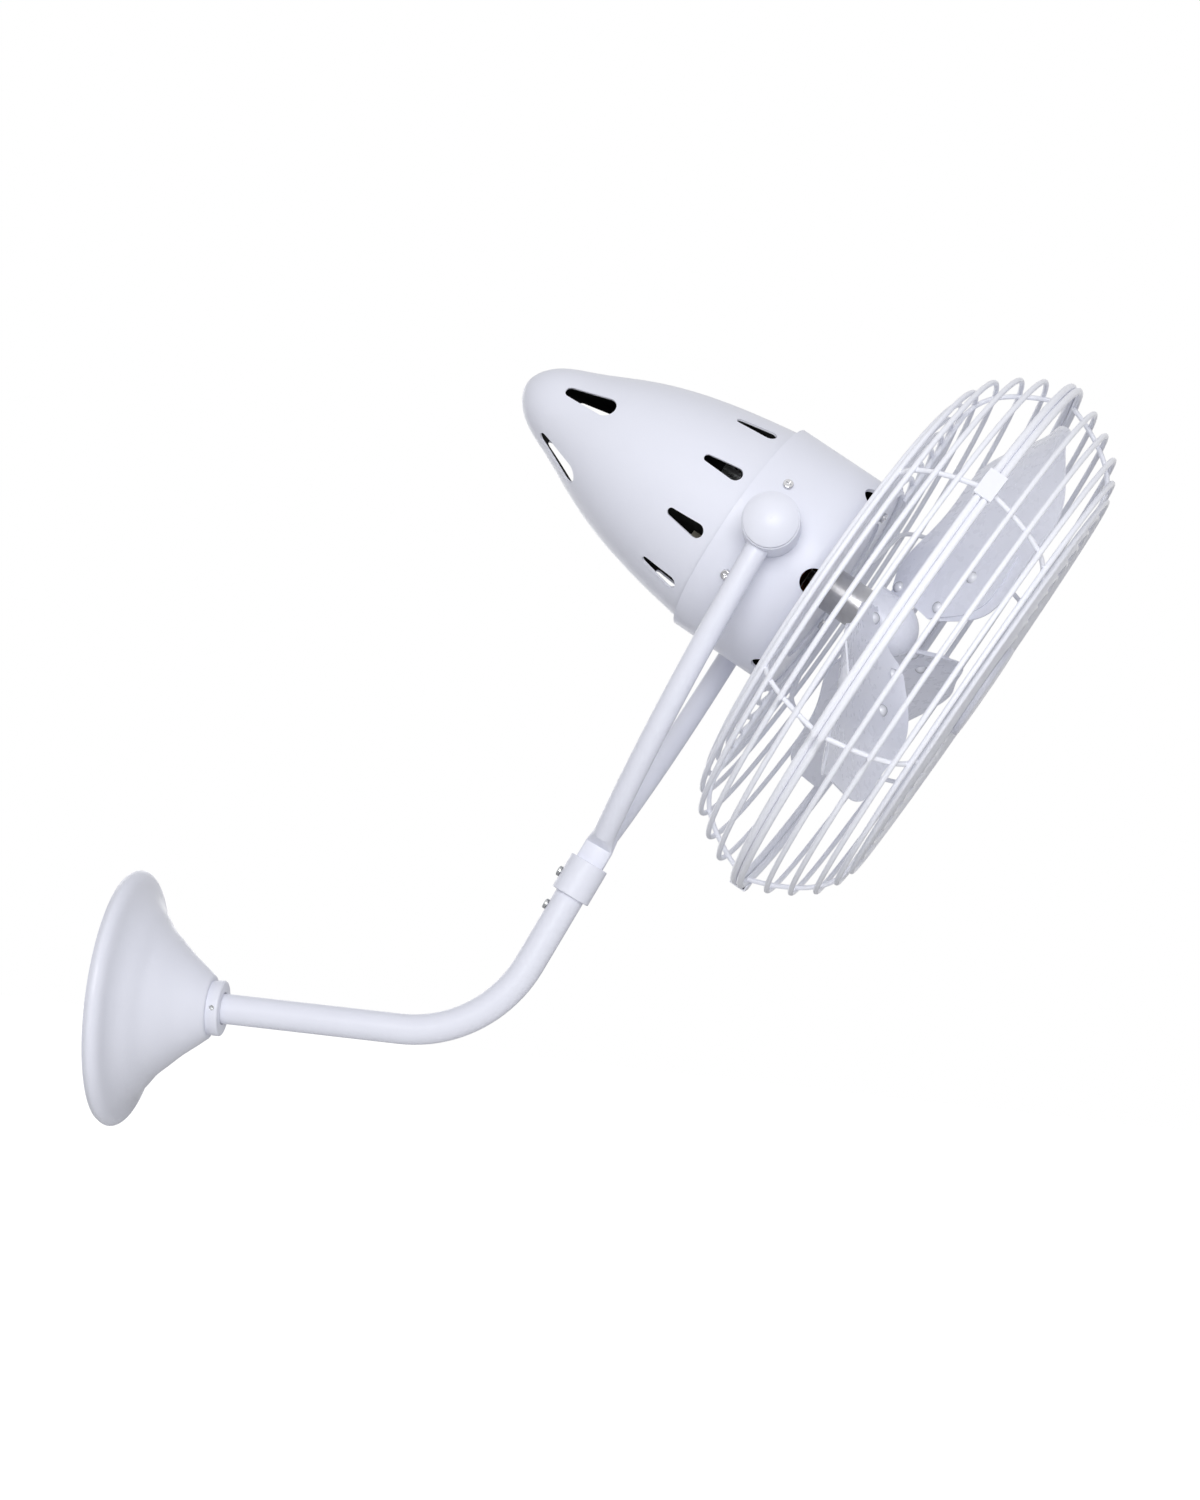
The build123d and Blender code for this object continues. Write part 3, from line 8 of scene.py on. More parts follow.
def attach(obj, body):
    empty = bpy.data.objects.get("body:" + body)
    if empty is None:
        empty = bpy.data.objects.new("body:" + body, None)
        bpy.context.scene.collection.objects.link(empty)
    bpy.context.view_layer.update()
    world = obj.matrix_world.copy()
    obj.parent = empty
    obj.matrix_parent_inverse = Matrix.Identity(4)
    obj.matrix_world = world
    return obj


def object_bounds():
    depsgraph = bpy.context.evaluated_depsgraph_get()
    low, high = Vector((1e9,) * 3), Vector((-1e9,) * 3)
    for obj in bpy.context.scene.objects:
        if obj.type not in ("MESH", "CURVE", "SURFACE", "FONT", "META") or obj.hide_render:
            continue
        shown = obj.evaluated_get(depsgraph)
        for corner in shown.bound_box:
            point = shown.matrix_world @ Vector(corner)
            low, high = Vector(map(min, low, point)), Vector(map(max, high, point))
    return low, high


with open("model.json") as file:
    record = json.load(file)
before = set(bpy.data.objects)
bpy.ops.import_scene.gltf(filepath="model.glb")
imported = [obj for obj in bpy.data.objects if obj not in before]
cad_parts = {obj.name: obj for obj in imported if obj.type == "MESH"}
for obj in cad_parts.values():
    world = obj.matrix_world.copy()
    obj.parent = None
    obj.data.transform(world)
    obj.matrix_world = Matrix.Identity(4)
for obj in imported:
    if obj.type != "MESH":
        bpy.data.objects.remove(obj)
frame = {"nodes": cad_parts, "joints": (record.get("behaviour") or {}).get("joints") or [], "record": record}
cad_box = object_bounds()

# ---------------------------------------------------------------- the fan's own frames

joints = {joint["name"]: joint for joint in frame["joints"]}
PIVOT = Vector(joints["tilt"]["pos_m"])
HEAD_DIR = Vector(joints["spin"]["axis"]).normalized()
HEAD_UP = Vector((1, 0, 0)).cross(HEAD_DIR).normalized()
if HEAD_UP.z < 0:
    HEAD_UP = -HEAD_UP

# guard wires, in metres: distances along the head's axis count from the tilt pivot
RIM_A = 0.1114
RIM_RADIUS = 0.2060
WIRE_RADIUS = 0.0019
RIB_WIRE_RADIUS = 0.00175
RIB_SINK = 0.00075
SIDE_STEPS = ((0.0200, 0.0069), (0.0345, 0.0150), (0.0483, 0.0257), (0.0565, 0.0390))
FLAT_INSET = 0.0604
FLAT_CORNER_RADIUS = 0.1546
FRONT_FLAT_RINGS = 11
FRONT_INNER_RING = 0.0319
REAR_FLAT_RINGS = 7
REAR_INNER_RING = 0.0823
RIB_ANGLES = (66.4, 121.0, 190.0, 246.7, 301.3, 358.0)

# canopy rim
CANOPY_RIM_RADIUS = 0.0880
CANOPY_ROLL_RADIUS = 0.0011

# ---------------------------------------------------------------- finishes: colours are linear

ENAMEL = (0.800, 0.815, 0.900, 1.0)
ENAMEL_SHADE = (0.765, 0.780, 0.868, 1.0)
BLADE_ENAMEL = (0.880, 0.895, 0.970, 1.0)
BLADE_SHADE = (0.830, 0.846, 0.935, 1.0)
CAGE_ENAMEL = (0.900, 0.912, 0.975, 1.0)
CAGE_SHADE = (0.860, 0.874, 0.945, 1.0)
RIVET_ENAMEL = (0.950, 0.955, 0.990, 1.0)
# painted shade for the rims of the blade rivets
RIVET_PAINTED_SHADE = (0.200, 0.205, 0.240, 1.0)
# black painted shade for the inner faces of the motor housings
INSIDE_PAINTED_SHADE = (0.006, 0.006, 0.006, 1.0)
ZINC = (0.55, 0.56, 0.57, 1.0)
ZINC_DULL = (0.40, 0.41, 0.42, 1.0)
POLISHED = (0.68, 0.68, 0.70, 1.0)
POLISHED_DULL = (0.56, 0.56, 0.58, 1.0)
SLEEVE = (0.66, 0.66, 0.68, 1.0)
SLEEVE_DULL = (0.46, 0.45, 0.44, 1.0)
LAMINATION = (0.020, 0.020, 0.021, 1.0)
LAMINATION_DULL = (0.012, 0.012, 0.012, 1.0)
CASTING = (0.42, 0.43, 0.44, 1.0)
CASTING_DULL = (0.33, 0.34, 0.35, 1.0)
COPPER = (0.42, 0.13, 0.045, 1.0)
COPPER_DARK = (0.20, 0.055, 0.02, 1.0)
NYLON = (0.64, 0.62, 0.56, 1.0)
NYLON_DARK = (0.56, 0.54, 0.48, 1.0)
CASE_BLACK = (0.012, 0.012, 0.014, 1.0)
CASE_GREY = (0.022, 0.022, 0.025, 1.0)
TERMINAL = (0.52, 0.49, 0.41, 1.0)
TERMINAL_DARK = (0.44, 0.41, 0.34, 1.0)
LEAD_BLACK = (0.010, 0.010, 0.011, 1.0)
LEAD_GREY = (0.020, 0.020, 0.022, 1.0)

# where the black painted shade on the housings' inner faces ends, as a radius from the head's axis
REAR_PAINTED_SHADE_RADIUS = 0.0785
FRONT_PAINTED_SHADE_RADIUS = 0.0800
INWARD_LIMIT = -0.25

# scales of the noises, in waves per metre, and heights of the bumps, in metres
DRIFT_SCALE = 9.0
COARSE_PEEL_SCALE = 130.0
COARSE_PEEL_SHARE = 1.6
PEEL_HEIGHT = 0.0004
PATCH_SCALE = 60.0
PATCH_CONTRAST = 1.6
PATCH_OFFSET = -0.3
MARK_HEIGHT = 0.0003

# ---------------------------------------------------------------- node helpers


def shader_group(name, inputs, outputs):
    """An empty shader group with named sockets: each is a label, a socket type and a value."""
    group = bpy.data.node_groups.new(name, "ShaderNodeTree")
    for label, kind, value in inputs:
        socket = group.interface.new_socket(label, in_out="INPUT", socket_type=kind)
        socket.default_value = value
    for label, kind in outputs:
        group.interface.new_socket(label, in_out="OUTPUT", socket_type=kind)
    return group, group.nodes.new("NodeGroupInput"), group.nodes.new("NodeGroupOutput")


def math_node(tree, operation, first, second=None, third=None, clamp=False):
    """A Math node: each input is a socket or a number."""
    node = tree.nodes.new("ShaderNodeMath")
    node.operation = operation
    node.use_clamp = clamp
    for place, value in enumerate((first, second, third)):
        if isinstance(value, bpy.types.NodeSocket):
            tree.links.new(value, node.inputs[place])
        elif value is not None:
            node.inputs[place].default_value = value
    return node.outputs[0]


def noise_node(tree, vector, scale, detail, roughness=0.5):
    """A Noise Texture on the given vector."""
    node = tree.nodes.new("ShaderNodeTexNoise")
    node.inputs["Detail"].default_value = detail
    node.inputs["Roughness"].default_value = roughness
    tree.links.new(vector, node.inputs["Vector"])
    if isinstance(scale, bpy.types.NodeSocket):
        tree.links.new(scale, node.inputs["Scale"])
    else:
        node.inputs["Scale"].default_value = scale
    return node.outputs["Fac"]


def vector_math(tree, operation, first, second=None):
    """A Vector Math node: each input is a socket or three numbers."""
    node = tree.nodes.new("ShaderNodeVectorMath")
    node.operation = operation
    for place, value in enumerate((first, second)):
        if isinstance(value, bpy.types.NodeSocket):
            tree.links.new(value, node.inputs[place])
        elif value is not None:
            node.inputs[place].default_value = value
    return node


def make_sprayed_coat():
    """Powder coat: slow colour drift, orange peel and a small change of gloss."""
    group, given, made = shader_group("sprayed_coat", [
        ("Vector", "NodeSocketVector", (0, 0, 0)),
        ("Colour", "NodeSocketColor", (1, 1, 1, 1)),
        ("Thin colour", "NodeSocketColor", (1, 1, 1, 1)),
        ("Gloss roughness", "NodeSocketFloat", 0.3),
        ("Roughness spread", "NodeSocketFloat", 0.08),
        ("Peel scale", "NodeSocketFloat", 420.0),
        ("Peel depth", "NodeSocketFloat", 0.1),
    ], [("Color", "NodeSocketColor"), ("Roughness", "NodeSocketFloat"), ("Normal", "NodeSocketVector")])
    drift = noise_node(group, given.outputs["Vector"], DRIFT_SCALE, 3.0)
    fine = noise_node(group, given.outputs["Vector"], given.outputs["Peel scale"], 1.0)
    coarse = noise_node(group, given.outputs["Vector"], COARSE_PEEL_SCALE, 2.0)
    mix = group.nodes.new("ShaderNodeMix")
    mix.data_type = "RGBA"
    group.links.new(drift, mix.inputs["Factor"])
    group.links.new(given.outputs["Thin colour"], mix.inputs[6])
    group.links.new(given.outputs["Colour"], mix.inputs[7])
    group.links.new(mix.outputs[2], made.inputs["Color"])
    swing = math_node(group, "SUBTRACT", coarse, 0.5)
    spread = math_node(group, "MULTIPLY", swing, given.outputs["Roughness spread"])
    group.links.new(math_node(group, "ADD", given.outputs["Gloss roughness"], spread, clamp=True),
                    made.inputs["Roughness"])
    height = math_node(group, "ADD", fine, math_node(group, "MULTIPLY", coarse, COARSE_PEEL_SHARE))
    bump = group.nodes.new("ShaderNodeBump")
    bump.inputs["Distance"].default_value = PEEL_HEIGHT
    group.links.new(given.outputs["Peel depth"], bump.inputs["Strength"])
    group.links.new(height, bump.inputs["Height"])
    group.links.new(bump.outputs["Normal"], made.inputs["Normal"])
    return group


def make_worked_metal():
    """Bare metal: fine marks drawn out along one direction, dull patches and uneven gloss."""
    group, given, made = shader_group("worked_metal", [
        ("Vector", "NodeSocketVector", (0, 0, 0)),
        ("Colour", "NodeSocketColor", (1, 1, 1, 1)),
        ("Dull colour", "NodeSocketColor", (1, 1, 1, 1)),
        ("Stretch", "NodeSocketVector", (1, 1, 1)),
        ("Mark scale", "NodeSocketFloat", 900.0),
        ("Mark depth", "NodeSocketFloat", 0.1),
        ("Bright roughness", "NodeSocketFloat", 0.25),
        ("Dull roughness", "NodeSocketFloat", 0.45),
    ], [("Color", "NodeSocketColor"), ("Roughness", "NodeSocketFloat"), ("Normal", "NodeSocketVector")])
    drawn = vector_math(group, "MULTIPLY", given.outputs["Vector"], given.outputs["Stretch"]).outputs[0]
    marks = noise_node(group, drawn, given.outputs["Mark scale"], 3.0, 0.6)
    patches = noise_node(group, given.outputs["Vector"], PATCH_SCALE, 4.0, 0.6)
    dull = math_node(group, "MULTIPLY_ADD", patches, PATCH_CONTRAST, PATCH_OFFSET, clamp=True)
    mix = group.nodes.new("ShaderNodeMix")
    mix.data_type = "RGBA"
    group.links.new(dull, mix.inputs["Factor"])
    group.links.new(given.outputs["Colour"], mix.inputs[6])
    group.links.new(given.outputs["Dull colour"], mix.inputs[7])
    group.links.new(mix.outputs[2], made.inputs["Color"])
    rough = group.nodes.new("ShaderNodeMix")
    group.links.new(math_node(group, "MULTIPLY", dull, marks), rough.inputs["Factor"])
    group.links.new(given.outputs["Bright roughness"], rough.inputs[2])
    group.links.new(given.outputs["Dull roughness"], rough.inputs[3])
    group.links.new(rough.outputs[0], made.inputs["Roughness"])
    bump = group.nodes.new("ShaderNodeBump")
    bump.inputs["Distance"].default_value = MARK_HEIGHT
    group.links.new(given.outputs["Mark depth"], bump.inputs["Strength"])
    group.links.new(marks, bump.inputs["Height"])
    group.links.new(bump.outputs["Normal"], made.inputs["Normal"])
    return group


# the mask of the painted shade inside the motor housings
def make_inner_face():
    """1 on the faces of a turned shell that look back at its axis, 0 on its outside."""
    group, given, made = shader_group("inner_face", [
        ("Vector", "NodeSocketVector", (0, 0, 0)),
        ("Facing", "NodeSocketVector", (0, 0, 0)),
        ("Pivot", "NodeSocketVector", (0, 0, 0)),
        ("Axis", "NodeSocketVector", (0, 0, 1)),
        ("Forward share", "NodeSocketFloat", 0.0),
        ("Outer radius", "NodeSocketFloat", 1.0),
    ], [("Mask", "NodeSocketFloat")])
    arm = vector_math(group, "SUBTRACT", given.outputs["Vector"], given.outputs["Pivot"]).outputs[0]
    along = vector_math(group, "PROJECT", arm, given.outputs["Axis"]).outputs[0]
    radial = vector_math(group, "SUBTRACT", arm, along).outputs[0]
    reach = vector_math(group, "LENGTH", radial).outputs["Value"]
    unit = vector_math(group, "NORMALIZE", radial).outputs[0]
    forward = group.nodes.new("ShaderNodeVectorMath")
    forward.operation = "SCALE"
    group.links.new(given.outputs["Axis"], forward.inputs[0])
    group.links.new(given.outputs["Forward share"], forward.inputs["Scale"])
    outside = vector_math(group, "ADD", unit, forward.outputs[0]).outputs[0]
    facing = vector_math(group, "DOT_PRODUCT", given.outputs["Facing"], outside).outputs["Value"]
    inwards = math_node(group, "LESS_THAN", facing, INWARD_LIMIT)
    below = math_node(group, "LESS_THAN", reach, given.outputs["Outer radius"])
    group.links.new(math_node(group, "MULTIPLY", inwards, below), made.inputs["Mask"])
    return group


SPRAYED_COAT = make_sprayed_coat()
WORKED_METAL = make_worked_metal()
INNER_FACE = make_inner_face()


def surface(name, group, values, shader, metallic=0.0):
    """A material whose colour, roughness and normal come from one of the groups."""
    material = bpy.data.materials.new(name)
    material.use_nodes = True
    tree = material.node_tree
    principled = tree.nodes["Principled BSDF"]
    place = tree.nodes.new("ShaderNodeTexCoord")
    effect = tree.nodes.new("ShaderNodeGroup")
    effect.node_tree = group
    effect.name = "effect"
    tree.links.new(place.outputs["Object"], effect.inputs["Vector"])
    for label, value in values.items():
        effect.inputs[label].default_value = value
    tree.links.new(effect.outputs["Color"], principled.inputs["Base Color"])
    tree.links.new(effect.outputs["Roughness"], principled.inputs["Roughness"])
    tree.links.new(effect.outputs["Normal"], principled.inputs["Normal"])
    principled.inputs["Metallic"].default_value = metallic
    for label, value in shader.items():
        principled.inputs[label].default_value = value
    return material


def coat(name, colour, thin, gloss, peel_scale=420.0, peel_depth=0.08, spread=0.08, **shader):
    """A sprayed or moulded surface; the shader's own inputs are named with underscores."""
    return surface(name, SPRAYED_COAT, {
        "Colour": colour, "Thin colour": thin, "Gloss roughness": gloss, "Roughness spread": spread,
        "Peel scale": peel_scale, "Peel depth": peel_depth,
    }, {key.replace("_", " ").title().replace("Ior", "IOR"): value for key, value in shader.items()})


def enamel(name):
    """The white powder coat of the arm, the canopy, the yoke and the housings."""
    return coat(name, ENAMEL, ENAMEL_SHADE, 0.36, coat_weight=0.10, coat_roughness=0.16,
                specular_ior_level=0.22)


def metal(name, colour, dull, stretch, mark_scale, mark_depth, bright, rough):
    """A bare metal surface, from its bright and dull colours and roughnesses."""
    return surface(name, WORKED_METAL, {
        "Colour": colour, "Dull colour": dull, "Stretch": stretch, "Mark scale": mark_scale,
        "Mark depth": mark_depth, "Bright roughness": bright, "Dull roughness": rough,
    }, {}, metallic=1.0)


def shade_painted_inside(material, forward_share, outer_radius):
    """Paints shade: blackens the inner faces of a motor housing, below a radius from the head's axis, for the
    dark inside the housing.
    """
    tree = material.node_tree
    principled = tree.nodes["Principled BSDF"]
    place = tree.nodes.new("ShaderNodeTexCoord")
    mask = tree.nodes.new("ShaderNodeGroup")
    mask.node_tree = INNER_FACE
    tree.links.new(place.outputs["Object"], mask.inputs["Vector"])
    tree.links.new(place.outputs["Normal"], mask.inputs["Facing"])
    mask.inputs["Pivot"].default_value = PIVOT
    mask.inputs["Axis"].default_value = HEAD_DIR
    mask.inputs["Forward share"].default_value = forward_share
    mask.inputs["Outer radius"].default_value = outer_radius
    mix = tree.nodes.new("ShaderNodeMix")
    mix.data_type = "RGBA"
    tree.links.new(mask.outputs["Mask"], mix.inputs["Factor"])
    tree.links.new(tree.nodes["effect"].outputs["Color"], mix.inputs[6])
    mix.inputs[7].default_value = INSIDE_PAINTED_SHADE
    tree.links.new(mix.outputs[2], principled.inputs["Base Color"])
    return material


def painted_rim_shade(material, shade_colour, blend):
    """Paints shade into the colour: darkens the faces that turn away from the viewer, a painted dark rim like
    the one a small polished dome shows.
    """
    tree = material.node_tree
    turned = tree.nodes.new("ShaderNodeLayerWeight")
    turned.inputs["Blend"].default_value = blend
    mix = tree.nodes.new("ShaderNodeMix")
    mix.data_type = "RGBA"
    tree.links.new(turned.outputs["Facing"], mix.inputs["Factor"])
    tree.links.new(tree.nodes["effect"].outputs["Color"], mix.inputs[6])
    mix.inputs[7].default_value = shade_colour
    tree.links.new(mix.outputs[2], tree.nodes["Principled BSDF"].inputs["Base Color"])
    return material


ROUND = (1.0, 1.0, 1.0)
ALONG_X = (0.06, 1.0, 1.0)

finishes = {
    "white_enamel": enamel("white_enamel"),
    "blade_enamel": coat("blade_enamel", BLADE_ENAMEL, BLADE_SHADE, 0.28, peel_scale=260.0, peel_depth=0.025,
                         coat_weight=0.15, coat_roughness=0.12, specular_ior_level=0.35),
    "zinc_steel": metal("zinc_steel", ZINC, ZINC_DULL, ROUND, 700.0, 0.10, 0.24, 0.42),
    "polished_steel": metal("polished_steel", POLISHED, POLISHED_DULL, ROUND, 1400.0, 0.05, 0.12, 0.26),
    "sleeve_steel": metal("sleeve_steel", SLEEVE, SLEEVE_DULL, ALONG_X, 900.0, 0.12, 0.28, 0.46),
    "lamination_steel": coat("lamination_steel", LAMINATION, LAMINATION_DULL, 0.55, peel_scale=900.0,
                             peel_depth=0.3),
    "cast_aluminium": metal("cast_aluminium", CASTING, CASTING_DULL, ROUND, 380.0, 0.35, 0.42, 0.60),
    "copper_wire": metal("copper_wire", COPPER, COPPER_DARK, ALONG_X, 1100.0, 0.6, 0.30, 0.45),
    "nylon": coat("nylon", NYLON, NYLON_DARK, 0.45, subsurface_weight=0.1),
    "capacitor_case": coat("capacitor_case", CASE_BLACK, CASE_GREY, 0.35, peel_scale=800.0),
    "terminal_plastic": coat("terminal_plastic", TERMINAL, TERMINAL_DARK, 0.5, peel_scale=700.0),
    "lead_insulation": coat("lead_insulation", LEAD_BLACK, LEAD_GREY, 0.5, peel_scale=1200.0,
                            peel_depth=0.2),
}
cage_enamel = coat("cage_enamel", CAGE_ENAMEL, CAGE_SHADE, 0.34, coat_weight=0.10,
                   coat_roughness=0.16, specular_ior_level=0.25)
own_finishes = {
    "front_guard": cage_enamel,
    "rear_guard": cage_enamel,
    "guard_clips": cage_enamel,
    # the housings' inner faces get black painted shade
    "rear_housing": shade_painted_inside(enamel("rear_housing_enamel"), 0.0, REAR_PAINTED_SHADE_RADIUS),
    "front_housing": shade_painted_inside(enamel("front_housing_enamel"), 1.0, FRONT_PAINTED_SHADE_RADIUS),
    # the rivets get painted shade at their rims, darker where they turn from the viewer
    "blade_rivets": painted_rim_shade(coat("rivet_enamel", RIVET_ENAMEL, BLADE_ENAMEL, 0.16, coat_weight=0.6,
                                       coat_roughness=0.05), RIVET_PAINTED_SHADE, 0.42),
}

for subpart in frame["record"]["subparts"]:
    node = subpart["node"]
    finish = own_finishes.get(node, finishes[subpart["material_slot"]])
    mesh = frame["nodes"][node].data
    mesh.materials.clear()
    mesh.materials.append(finish)

# ---------------------------------------------------------------- pieces grown by geometry nodes


def geometry_tree(name, inputs):
    """An empty geometry tree with named inputs after its own geometry."""
    tree = bpy.data.node_groups.new(name, "GeometryNodeTree")
    tree.interface.new_socket("Geometry", in_out="INPUT", socket_type="NodeSocketGeometry")
    for label, kind, value in inputs:
        socket = tree.interface.new_socket(label, in_out="INPUT", socket_type=kind)
        if value is not None:
            socket.default_value = value
    tree.interface.new_socket("Geometry", in_out="OUTPUT", socket_type="NodeSocketGeometry")
    return tree, tree.nodes.new("NodeGroupInput"), tree.nodes.new("NodeGroupOutput")


def finish_tree(tree, given, made, geometry):
    """Ends a tree in Realize Instances and Set Material."""
    real = tree.nodes.new("GeometryNodeRealizeInstances")
    paint = tree.nodes.new("GeometryNodeSetMaterial")
    tree.links.new(geometry, real.inputs["Geometry"])
    tree.links.new(real.outputs["Geometry"], paint.inputs["Geometry"])
    tree.links.new(given.outputs["Material"], paint.inputs["Material"])
    tree.links.new(paint.outputs["Geometry"], made.inputs["Geometry"])


def make_weld_spots():
    """A flattened bead on each point, pressed along the point's own direction."""
    tree, given, made = geometry_tree("weld_spots", [
        ("Bead radius", "NodeSocketFloat", 0.001),
        ("Bead stretch", "NodeSocketFloat", 1.3),
        ("Uneven", "NodeSocketFloat", 0.15),
        ("Seed", "NodeSocketInt", 3),
        ("Material", "NodeSocketMaterial", None),
    ])
    bead = tree.nodes.new("GeometryNodeMeshIcoSphere")
    bead.inputs["Subdivisions"].default_value = 2
    tree.links.new(given.outputs["Bead radius"], bead.inputs["Radius"])
    smooth = tree.nodes.new("GeometryNodeSetShadeSmooth")
    tree.links.new(bead.outputs["Mesh"], smooth.inputs["Geometry"])
    facing = tree.nodes.new("GeometryNodeInputNamedAttribute")
    facing.data_type = "FLOAT_VECTOR"
    facing.inputs["Name"].default_value = "across"
    turn = tree.nodes.new("FunctionNodeAlignEulerToVector")
    turn.axis = "X"
    tree.links.new(facing.outputs["Attribute"], turn.inputs["Vector"])
    size = tree.nodes.new("FunctionNodeRandomValue")
    size.data_type = "FLOAT"
    tree.links.new(given.outputs["Seed"], size.inputs["Seed"])
    low = math_node(tree, "SUBTRACT", 1.0, given.outputs["Uneven"])
    high = math_node(tree, "ADD", 1.0, given.outputs["Uneven"])
    tree.links.new(low, size.inputs[2])
    tree.links.new(high, size.inputs[3])
    spread = tree.nodes.new("ShaderNodeCombineXYZ")
    tree.links.new(math_node(tree, "MULTIPLY", size.outputs[1], given.outputs["Bead stretch"]),
                   spread.inputs["X"])
    tree.links.new(size.outputs[1], spread.inputs["Y"])
    tree.links.new(size.outputs[1], spread.inputs["Z"])
    place = tree.nodes.new("GeometryNodeInstanceOnPoints")
    tree.links.new(given.outputs["Geometry"], place.inputs["Points"])
    tree.links.new(smooth.outputs["Geometry"], place.inputs["Instance"])
    tree.links.new(turn.outputs["Rotation"], place.inputs["Rotation"])
    tree.links.new(spread.outputs[0], place.inputs["Scale"])
    finish_tree(tree, given, made, place.outputs["Instances"])
    return tree


def make_rolled_rim():
    """A round bead turned about the wall's normal."""
    tree, given, made = geometry_tree("rolled_rim", [
        ("Rim radius", "NodeSocketFloat", 0.08),
        ("Roll radius", "NodeSocketFloat", 0.001),
        ("Out", "NodeSocketFloat", 0.0),
        ("Around", "NodeSocketInt", 180),
        ("Material", "NodeSocketMaterial", None),
    ])
    circle = tree.nodes.new("GeometryNodeCurvePrimitiveCircle")
    tree.links.new(given.outputs["Around"], circle.inputs["Resolution"])
    tree.links.new(given.outputs["Rim radius"], circle.inputs["Radius"])
    stand = tree.nodes.new("GeometryNodeTransform")
    stand.inputs["Rotation"].default_value = (math.pi / 2, 0, 0)
    shift = tree.nodes.new("ShaderNodeCombineXYZ")
    tree.links.new(math_node(tree, "MULTIPLY", given.outputs["Out"], -1.0), shift.inputs["Y"])
    tree.links.new(shift.outputs[0], stand.inputs["Translation"])
    tree.links.new(circle.outputs["Curve"], stand.inputs["Geometry"])
    section = tree.nodes.new("GeometryNodeCurvePrimitiveCircle")
    section.inputs["Resolution"].default_value = 14
    tree.links.new(given.outputs["Roll radius"], section.inputs["Radius"])
    bead = tree.nodes.new("GeometryNodeCurveToMesh")
    tree.links.new(stand.outputs["Geometry"], bead.inputs["Curve"])
    tree.links.new(section.outputs["Curve"], bead.inputs["Profile Curve"])
    smooth = tree.nodes.new("GeometryNodeSetShadeSmooth")
    tree.links.new(bead.outputs["Mesh"], smooth.inputs["Geometry"])
    finish_tree(tree, given, made, smooth.outputs["Geometry"])
    return tree


def grow(name, tree, body, slot, finish, points=(), across=(), **values):
    """Runs a geometry tree on some points and keeps the result as a plain mesh on a body."""
    seed_mesh = bpy.data.meshes.new(name + "_points")
    seed_mesh.from_pydata([tuple(point) for point in points], [], [])
    if across:
        attribute = seed_mesh.attributes.new("across", "FLOAT_VECTOR", "POINT")
        for place, direction in enumerate(across):
            attribute.data[place].vector = direction
    piece = bpy.data.objects.new(name, seed_mesh)
    bpy.context.scene.collection.objects.link(piece)
    modifier = piece.modifiers.new("grow", "NODES")
    modifier.node_group = tree
    sockets = {item.name: item.identifier for item in tree.interface.items_tree if item.in_out == "INPUT"}
    modifier[sockets["Material"]] = finish
    for label, value in values.items():
        modifier[sockets[label.replace("_", " ").capitalize()]] = value
    shape = piece.evaluated_get(bpy.context.evaluated_depsgraph_get())
    made = bpy.data.meshes.new_from_object(shape)
    piece.modifiers.clear()
    piece.data = made
    made.name = name
    bpy.data.meshes.remove(seed_mesh)
    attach(piece, body)
    return piece


def spoke(angle):
    """Unit vector square to the head's axis, at an angle from the top towards the near side."""
    turn = math.radians(angle)
    return HEAD_UP * math.cos(turn) - Vector((1, 0, 0)) * math.sin(turn)


def guard_hoops(way, flat_count, inner_ring):
    """Centres of the hoops of one guard: radius, distance along the axis."""
    pitch = (FLAT_CORNER_RADIUS - inner_ring) / (flat_count - 1)
    hoops = [(RIM_RADIUS - inset, RIM_A + way * step) for step, inset in SIDE_STEPS]
    hoops += [(FLAT_CORNER_RADIUS - k * pitch, RIM_A + way * FLAT_INSET) for k in range(flat_count)]
    return hoops


def weld_places(way, flat_count, inner_ring):
    """Where the hoops cross the ribs inside them, and the hoop's direction at each crossing."""
    hoops = guard_hoops(way, flat_count, inner_ring)
    depth = WIRE_RADIUS - RIB_SINK / 2
    places, directions = [], []
    for number, (radius, along) in enumerate(hoops):
        before, after = hoops[max(number - 1, 0)], hoops[min(number + 1, len(hoops) - 1)]
        run = Vector((after[0] - before[0], after[1] - before[1])).normalized()
        inwards = Vector((-run.y, run.x)) * way
        if number >= len(SIDE_STEPS):
            inwards = Vector((0.0, -way))
        elif inwards.x > 0:
            inwards = -inwards
        for angle in RIB_ANGLES:
            out = spoke(angle)
            places.append(PIVOT + out * (radius + inwards.x * depth)
                          + HEAD_DIR * (along + inwards.y * depth))
            directions.append(HEAD_DIR.cross(out))
    return places, directions


weld_spots = make_weld_spots()
for name, way, flat_count, inner_ring in (("front_guard_welds", 1, FRONT_FLAT_RINGS, FRONT_INNER_RING),
                                          ("rear_guard_welds", -1, REAR_FLAT_RINGS, REAR_INNER_RING)):
    weld_points, weld_directions = weld_places(way, flat_count, inner_ring)
    grow(name, weld_spots, "head", "white_enamel", cage_enamel, weld_points, weld_directions,
         bead_radius=RIB_WIRE_RADIUS * 0.95, bead_stretch=1.25, seed=5)

grow("canopy_rim_roll", make_rolled_rim(), "wall_arm", "white_enamel", finishes["white_enamel"],
     rim_radius=CANOPY_RIM_RADIUS - CANOPY_ROLL_RADIUS, roll_radius=CANOPY_ROLL_RADIUS, out=CANOPY_ROLL_RADIUS)

# ---------------------------------------------------------------- stage, light and camera

FLOOR_DROP = 0.62
FLOOR_HALF = 30.0
FLOOR_GLOW = 0.80
FLOOR_COLOUR = (0.82, 0.82, 0.82, 1.0)
WHITE = (1.0, 1.0, 1.0, 1.0)
WORLD_LIGHT = (0.39, 0.39, 0.397, 1.0)

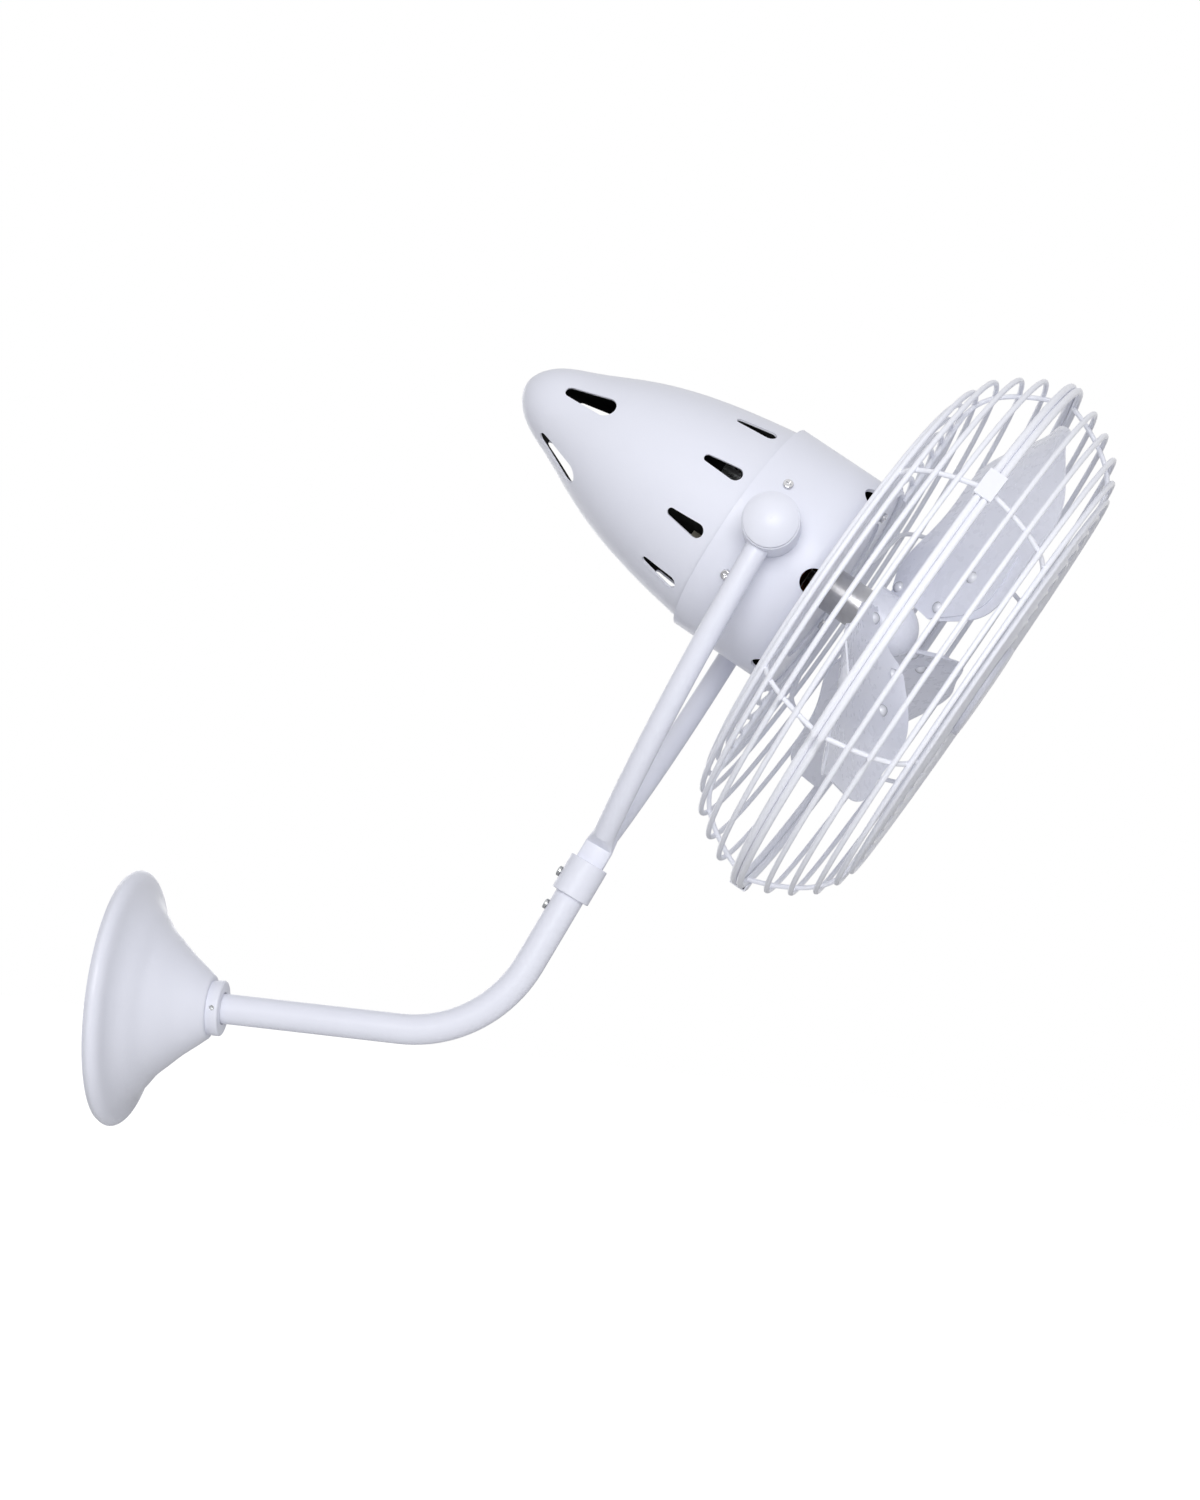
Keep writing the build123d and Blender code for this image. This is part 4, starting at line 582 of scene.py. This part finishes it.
floor_mesh = bpy.data.meshes.new("floor")
floor_height = cad_box[0].z - FLOOR_DROP
floor_mesh.from_pydata([(-FLOOR_HALF, -FLOOR_HALF, floor_height), (FLOOR_HALF, -FLOOR_HALF, floor_height),
                        (FLOOR_HALF, FLOOR_HALF, floor_height), (-FLOOR_HALF, FLOOR_HALF, floor_height)],
                       [], [(0, 1, 2, 3)])
floor = bpy.data.objects.new("floor", floor_mesh)
bpy.context.scene.collection.objects.link(floor)
floor_paint = bpy.data.materials.new("floor_paint")
floor_paint.use_nodes = True
floor_tree = floor_paint.node_tree
floor_shader = floor_tree.nodes["Principled BSDF"]
floor_shader.inputs["Base Color"].default_value = FLOOR_COLOUR
floor_shader.inputs["Roughness"].default_value = 0.9
floor_shader.inputs["Specular IOR Level"].default_value = 0.0
floor_shader.inputs["Emission Color"].default_value = WHITE
floor_sight = floor_tree.nodes.new("ShaderNodeLightPath")
floor_tree.links.new(math_node(floor_tree, "MULTIPLY", floor_sight.outputs["Is Camera Ray"], FLOOR_GLOW),
                     floor_shader.inputs["Emission Strength"])
floor_mesh.materials.append(floor_paint)

world = bpy.data.worlds.new("studio")
bpy.context.scene.world = world
world.use_nodes = True
sky = world.node_tree
plain = sky.nodes["Background"]
plain.inputs["Color"].default_value = WORLD_LIGHT
white = sky.nodes.new("ShaderNodeBackground")
white.inputs["Color"].default_value = WHITE
sight = sky.nodes.new("ShaderNodeLightPath")
seen = math_node(sky, "MAXIMUM", sight.outputs["Is Camera Ray"],
                 math_node(sky, "MAXIMUM", sight.outputs["Is Glossy Ray"],
                           sight.outputs["Is Transmission Ray"]))
choose = sky.nodes.new("ShaderNodeMixShader")
sky.links.new(seen, choose.inputs[0])
sky.links.new(plain.outputs[0], choose.inputs[1])
sky.links.new(white.outputs[0], choose.inputs[2])
sky.links.new(choose.outputs[0], sky.nodes["World Output"].inputs["Surface"])


def lamp(name, place, target, size, power):
    """A soft rectangular lamp that looks at a point."""
    light = bpy.data.lights.new(name, "AREA")
    light.shape = "RECTANGLE"
    light.size, light.size_y = size
    light.energy = power
    holder = bpy.data.objects.new(name, light)
    bpy.context.scene.collection.objects.link(holder)
    holder.location = place
    holder.rotation_euler = (Vector(target) - Vector(place)).to_track_quat("-Z", "Y").to_euler()
    return holder


FAN_MIDDLE = (0.0, -0.33, 0.22)
lamp("key", (-2.5, -0.6, 0.62), FAN_MIDDLE, (1.5, 1.1), 40.0)
lamp("top", (-0.6, -0.1, 2.4), FAN_MIDDLE, (2.0, 2.0), 2.0)
lamp("far_side", (1.9, 0.7, 0.5), FAN_MIDDLE, (1.6, 1.6), 8.0)

PHOTO_FOCAL_PX = 2595.0
PHOTO_LONG_SIDE_PX = 1500.0
CAMERA_PLACE = Vector((-1.8037, -0.5043, 0.0332))
CAMERA_RIGHT = Vector((0.0910, -0.9897, 0.1110))
CAMERA_UP = Vector((-0.1068, 0.1011, 0.9891))
camera_data = bpy.data.cameras.new("photo_camera")
camera_data.sensor_fit = "AUTO"
camera_data.sensor_width = 36.0
camera_data.lens = camera_data.sensor_width * PHOTO_FOCAL_PX / PHOTO_LONG_SIDE_PX
camera = bpy.data.objects.new("photo_camera", camera_data)
bpy.context.scene.collection.objects.link(camera)
right = CAMERA_RIGHT.normalized()
up = (CAMERA_UP - right * CAMERA_UP.dot(right)).normalized()
back = right.cross(up)
camera.matrix_world = Matrix.Translation(CAMERA_PLACE) @ Matrix((right, up, back)).transposed().to_4x4()
bpy.context.scene.camera = camera
bpy.context.scene.view_settings.view_transform = "Standard"
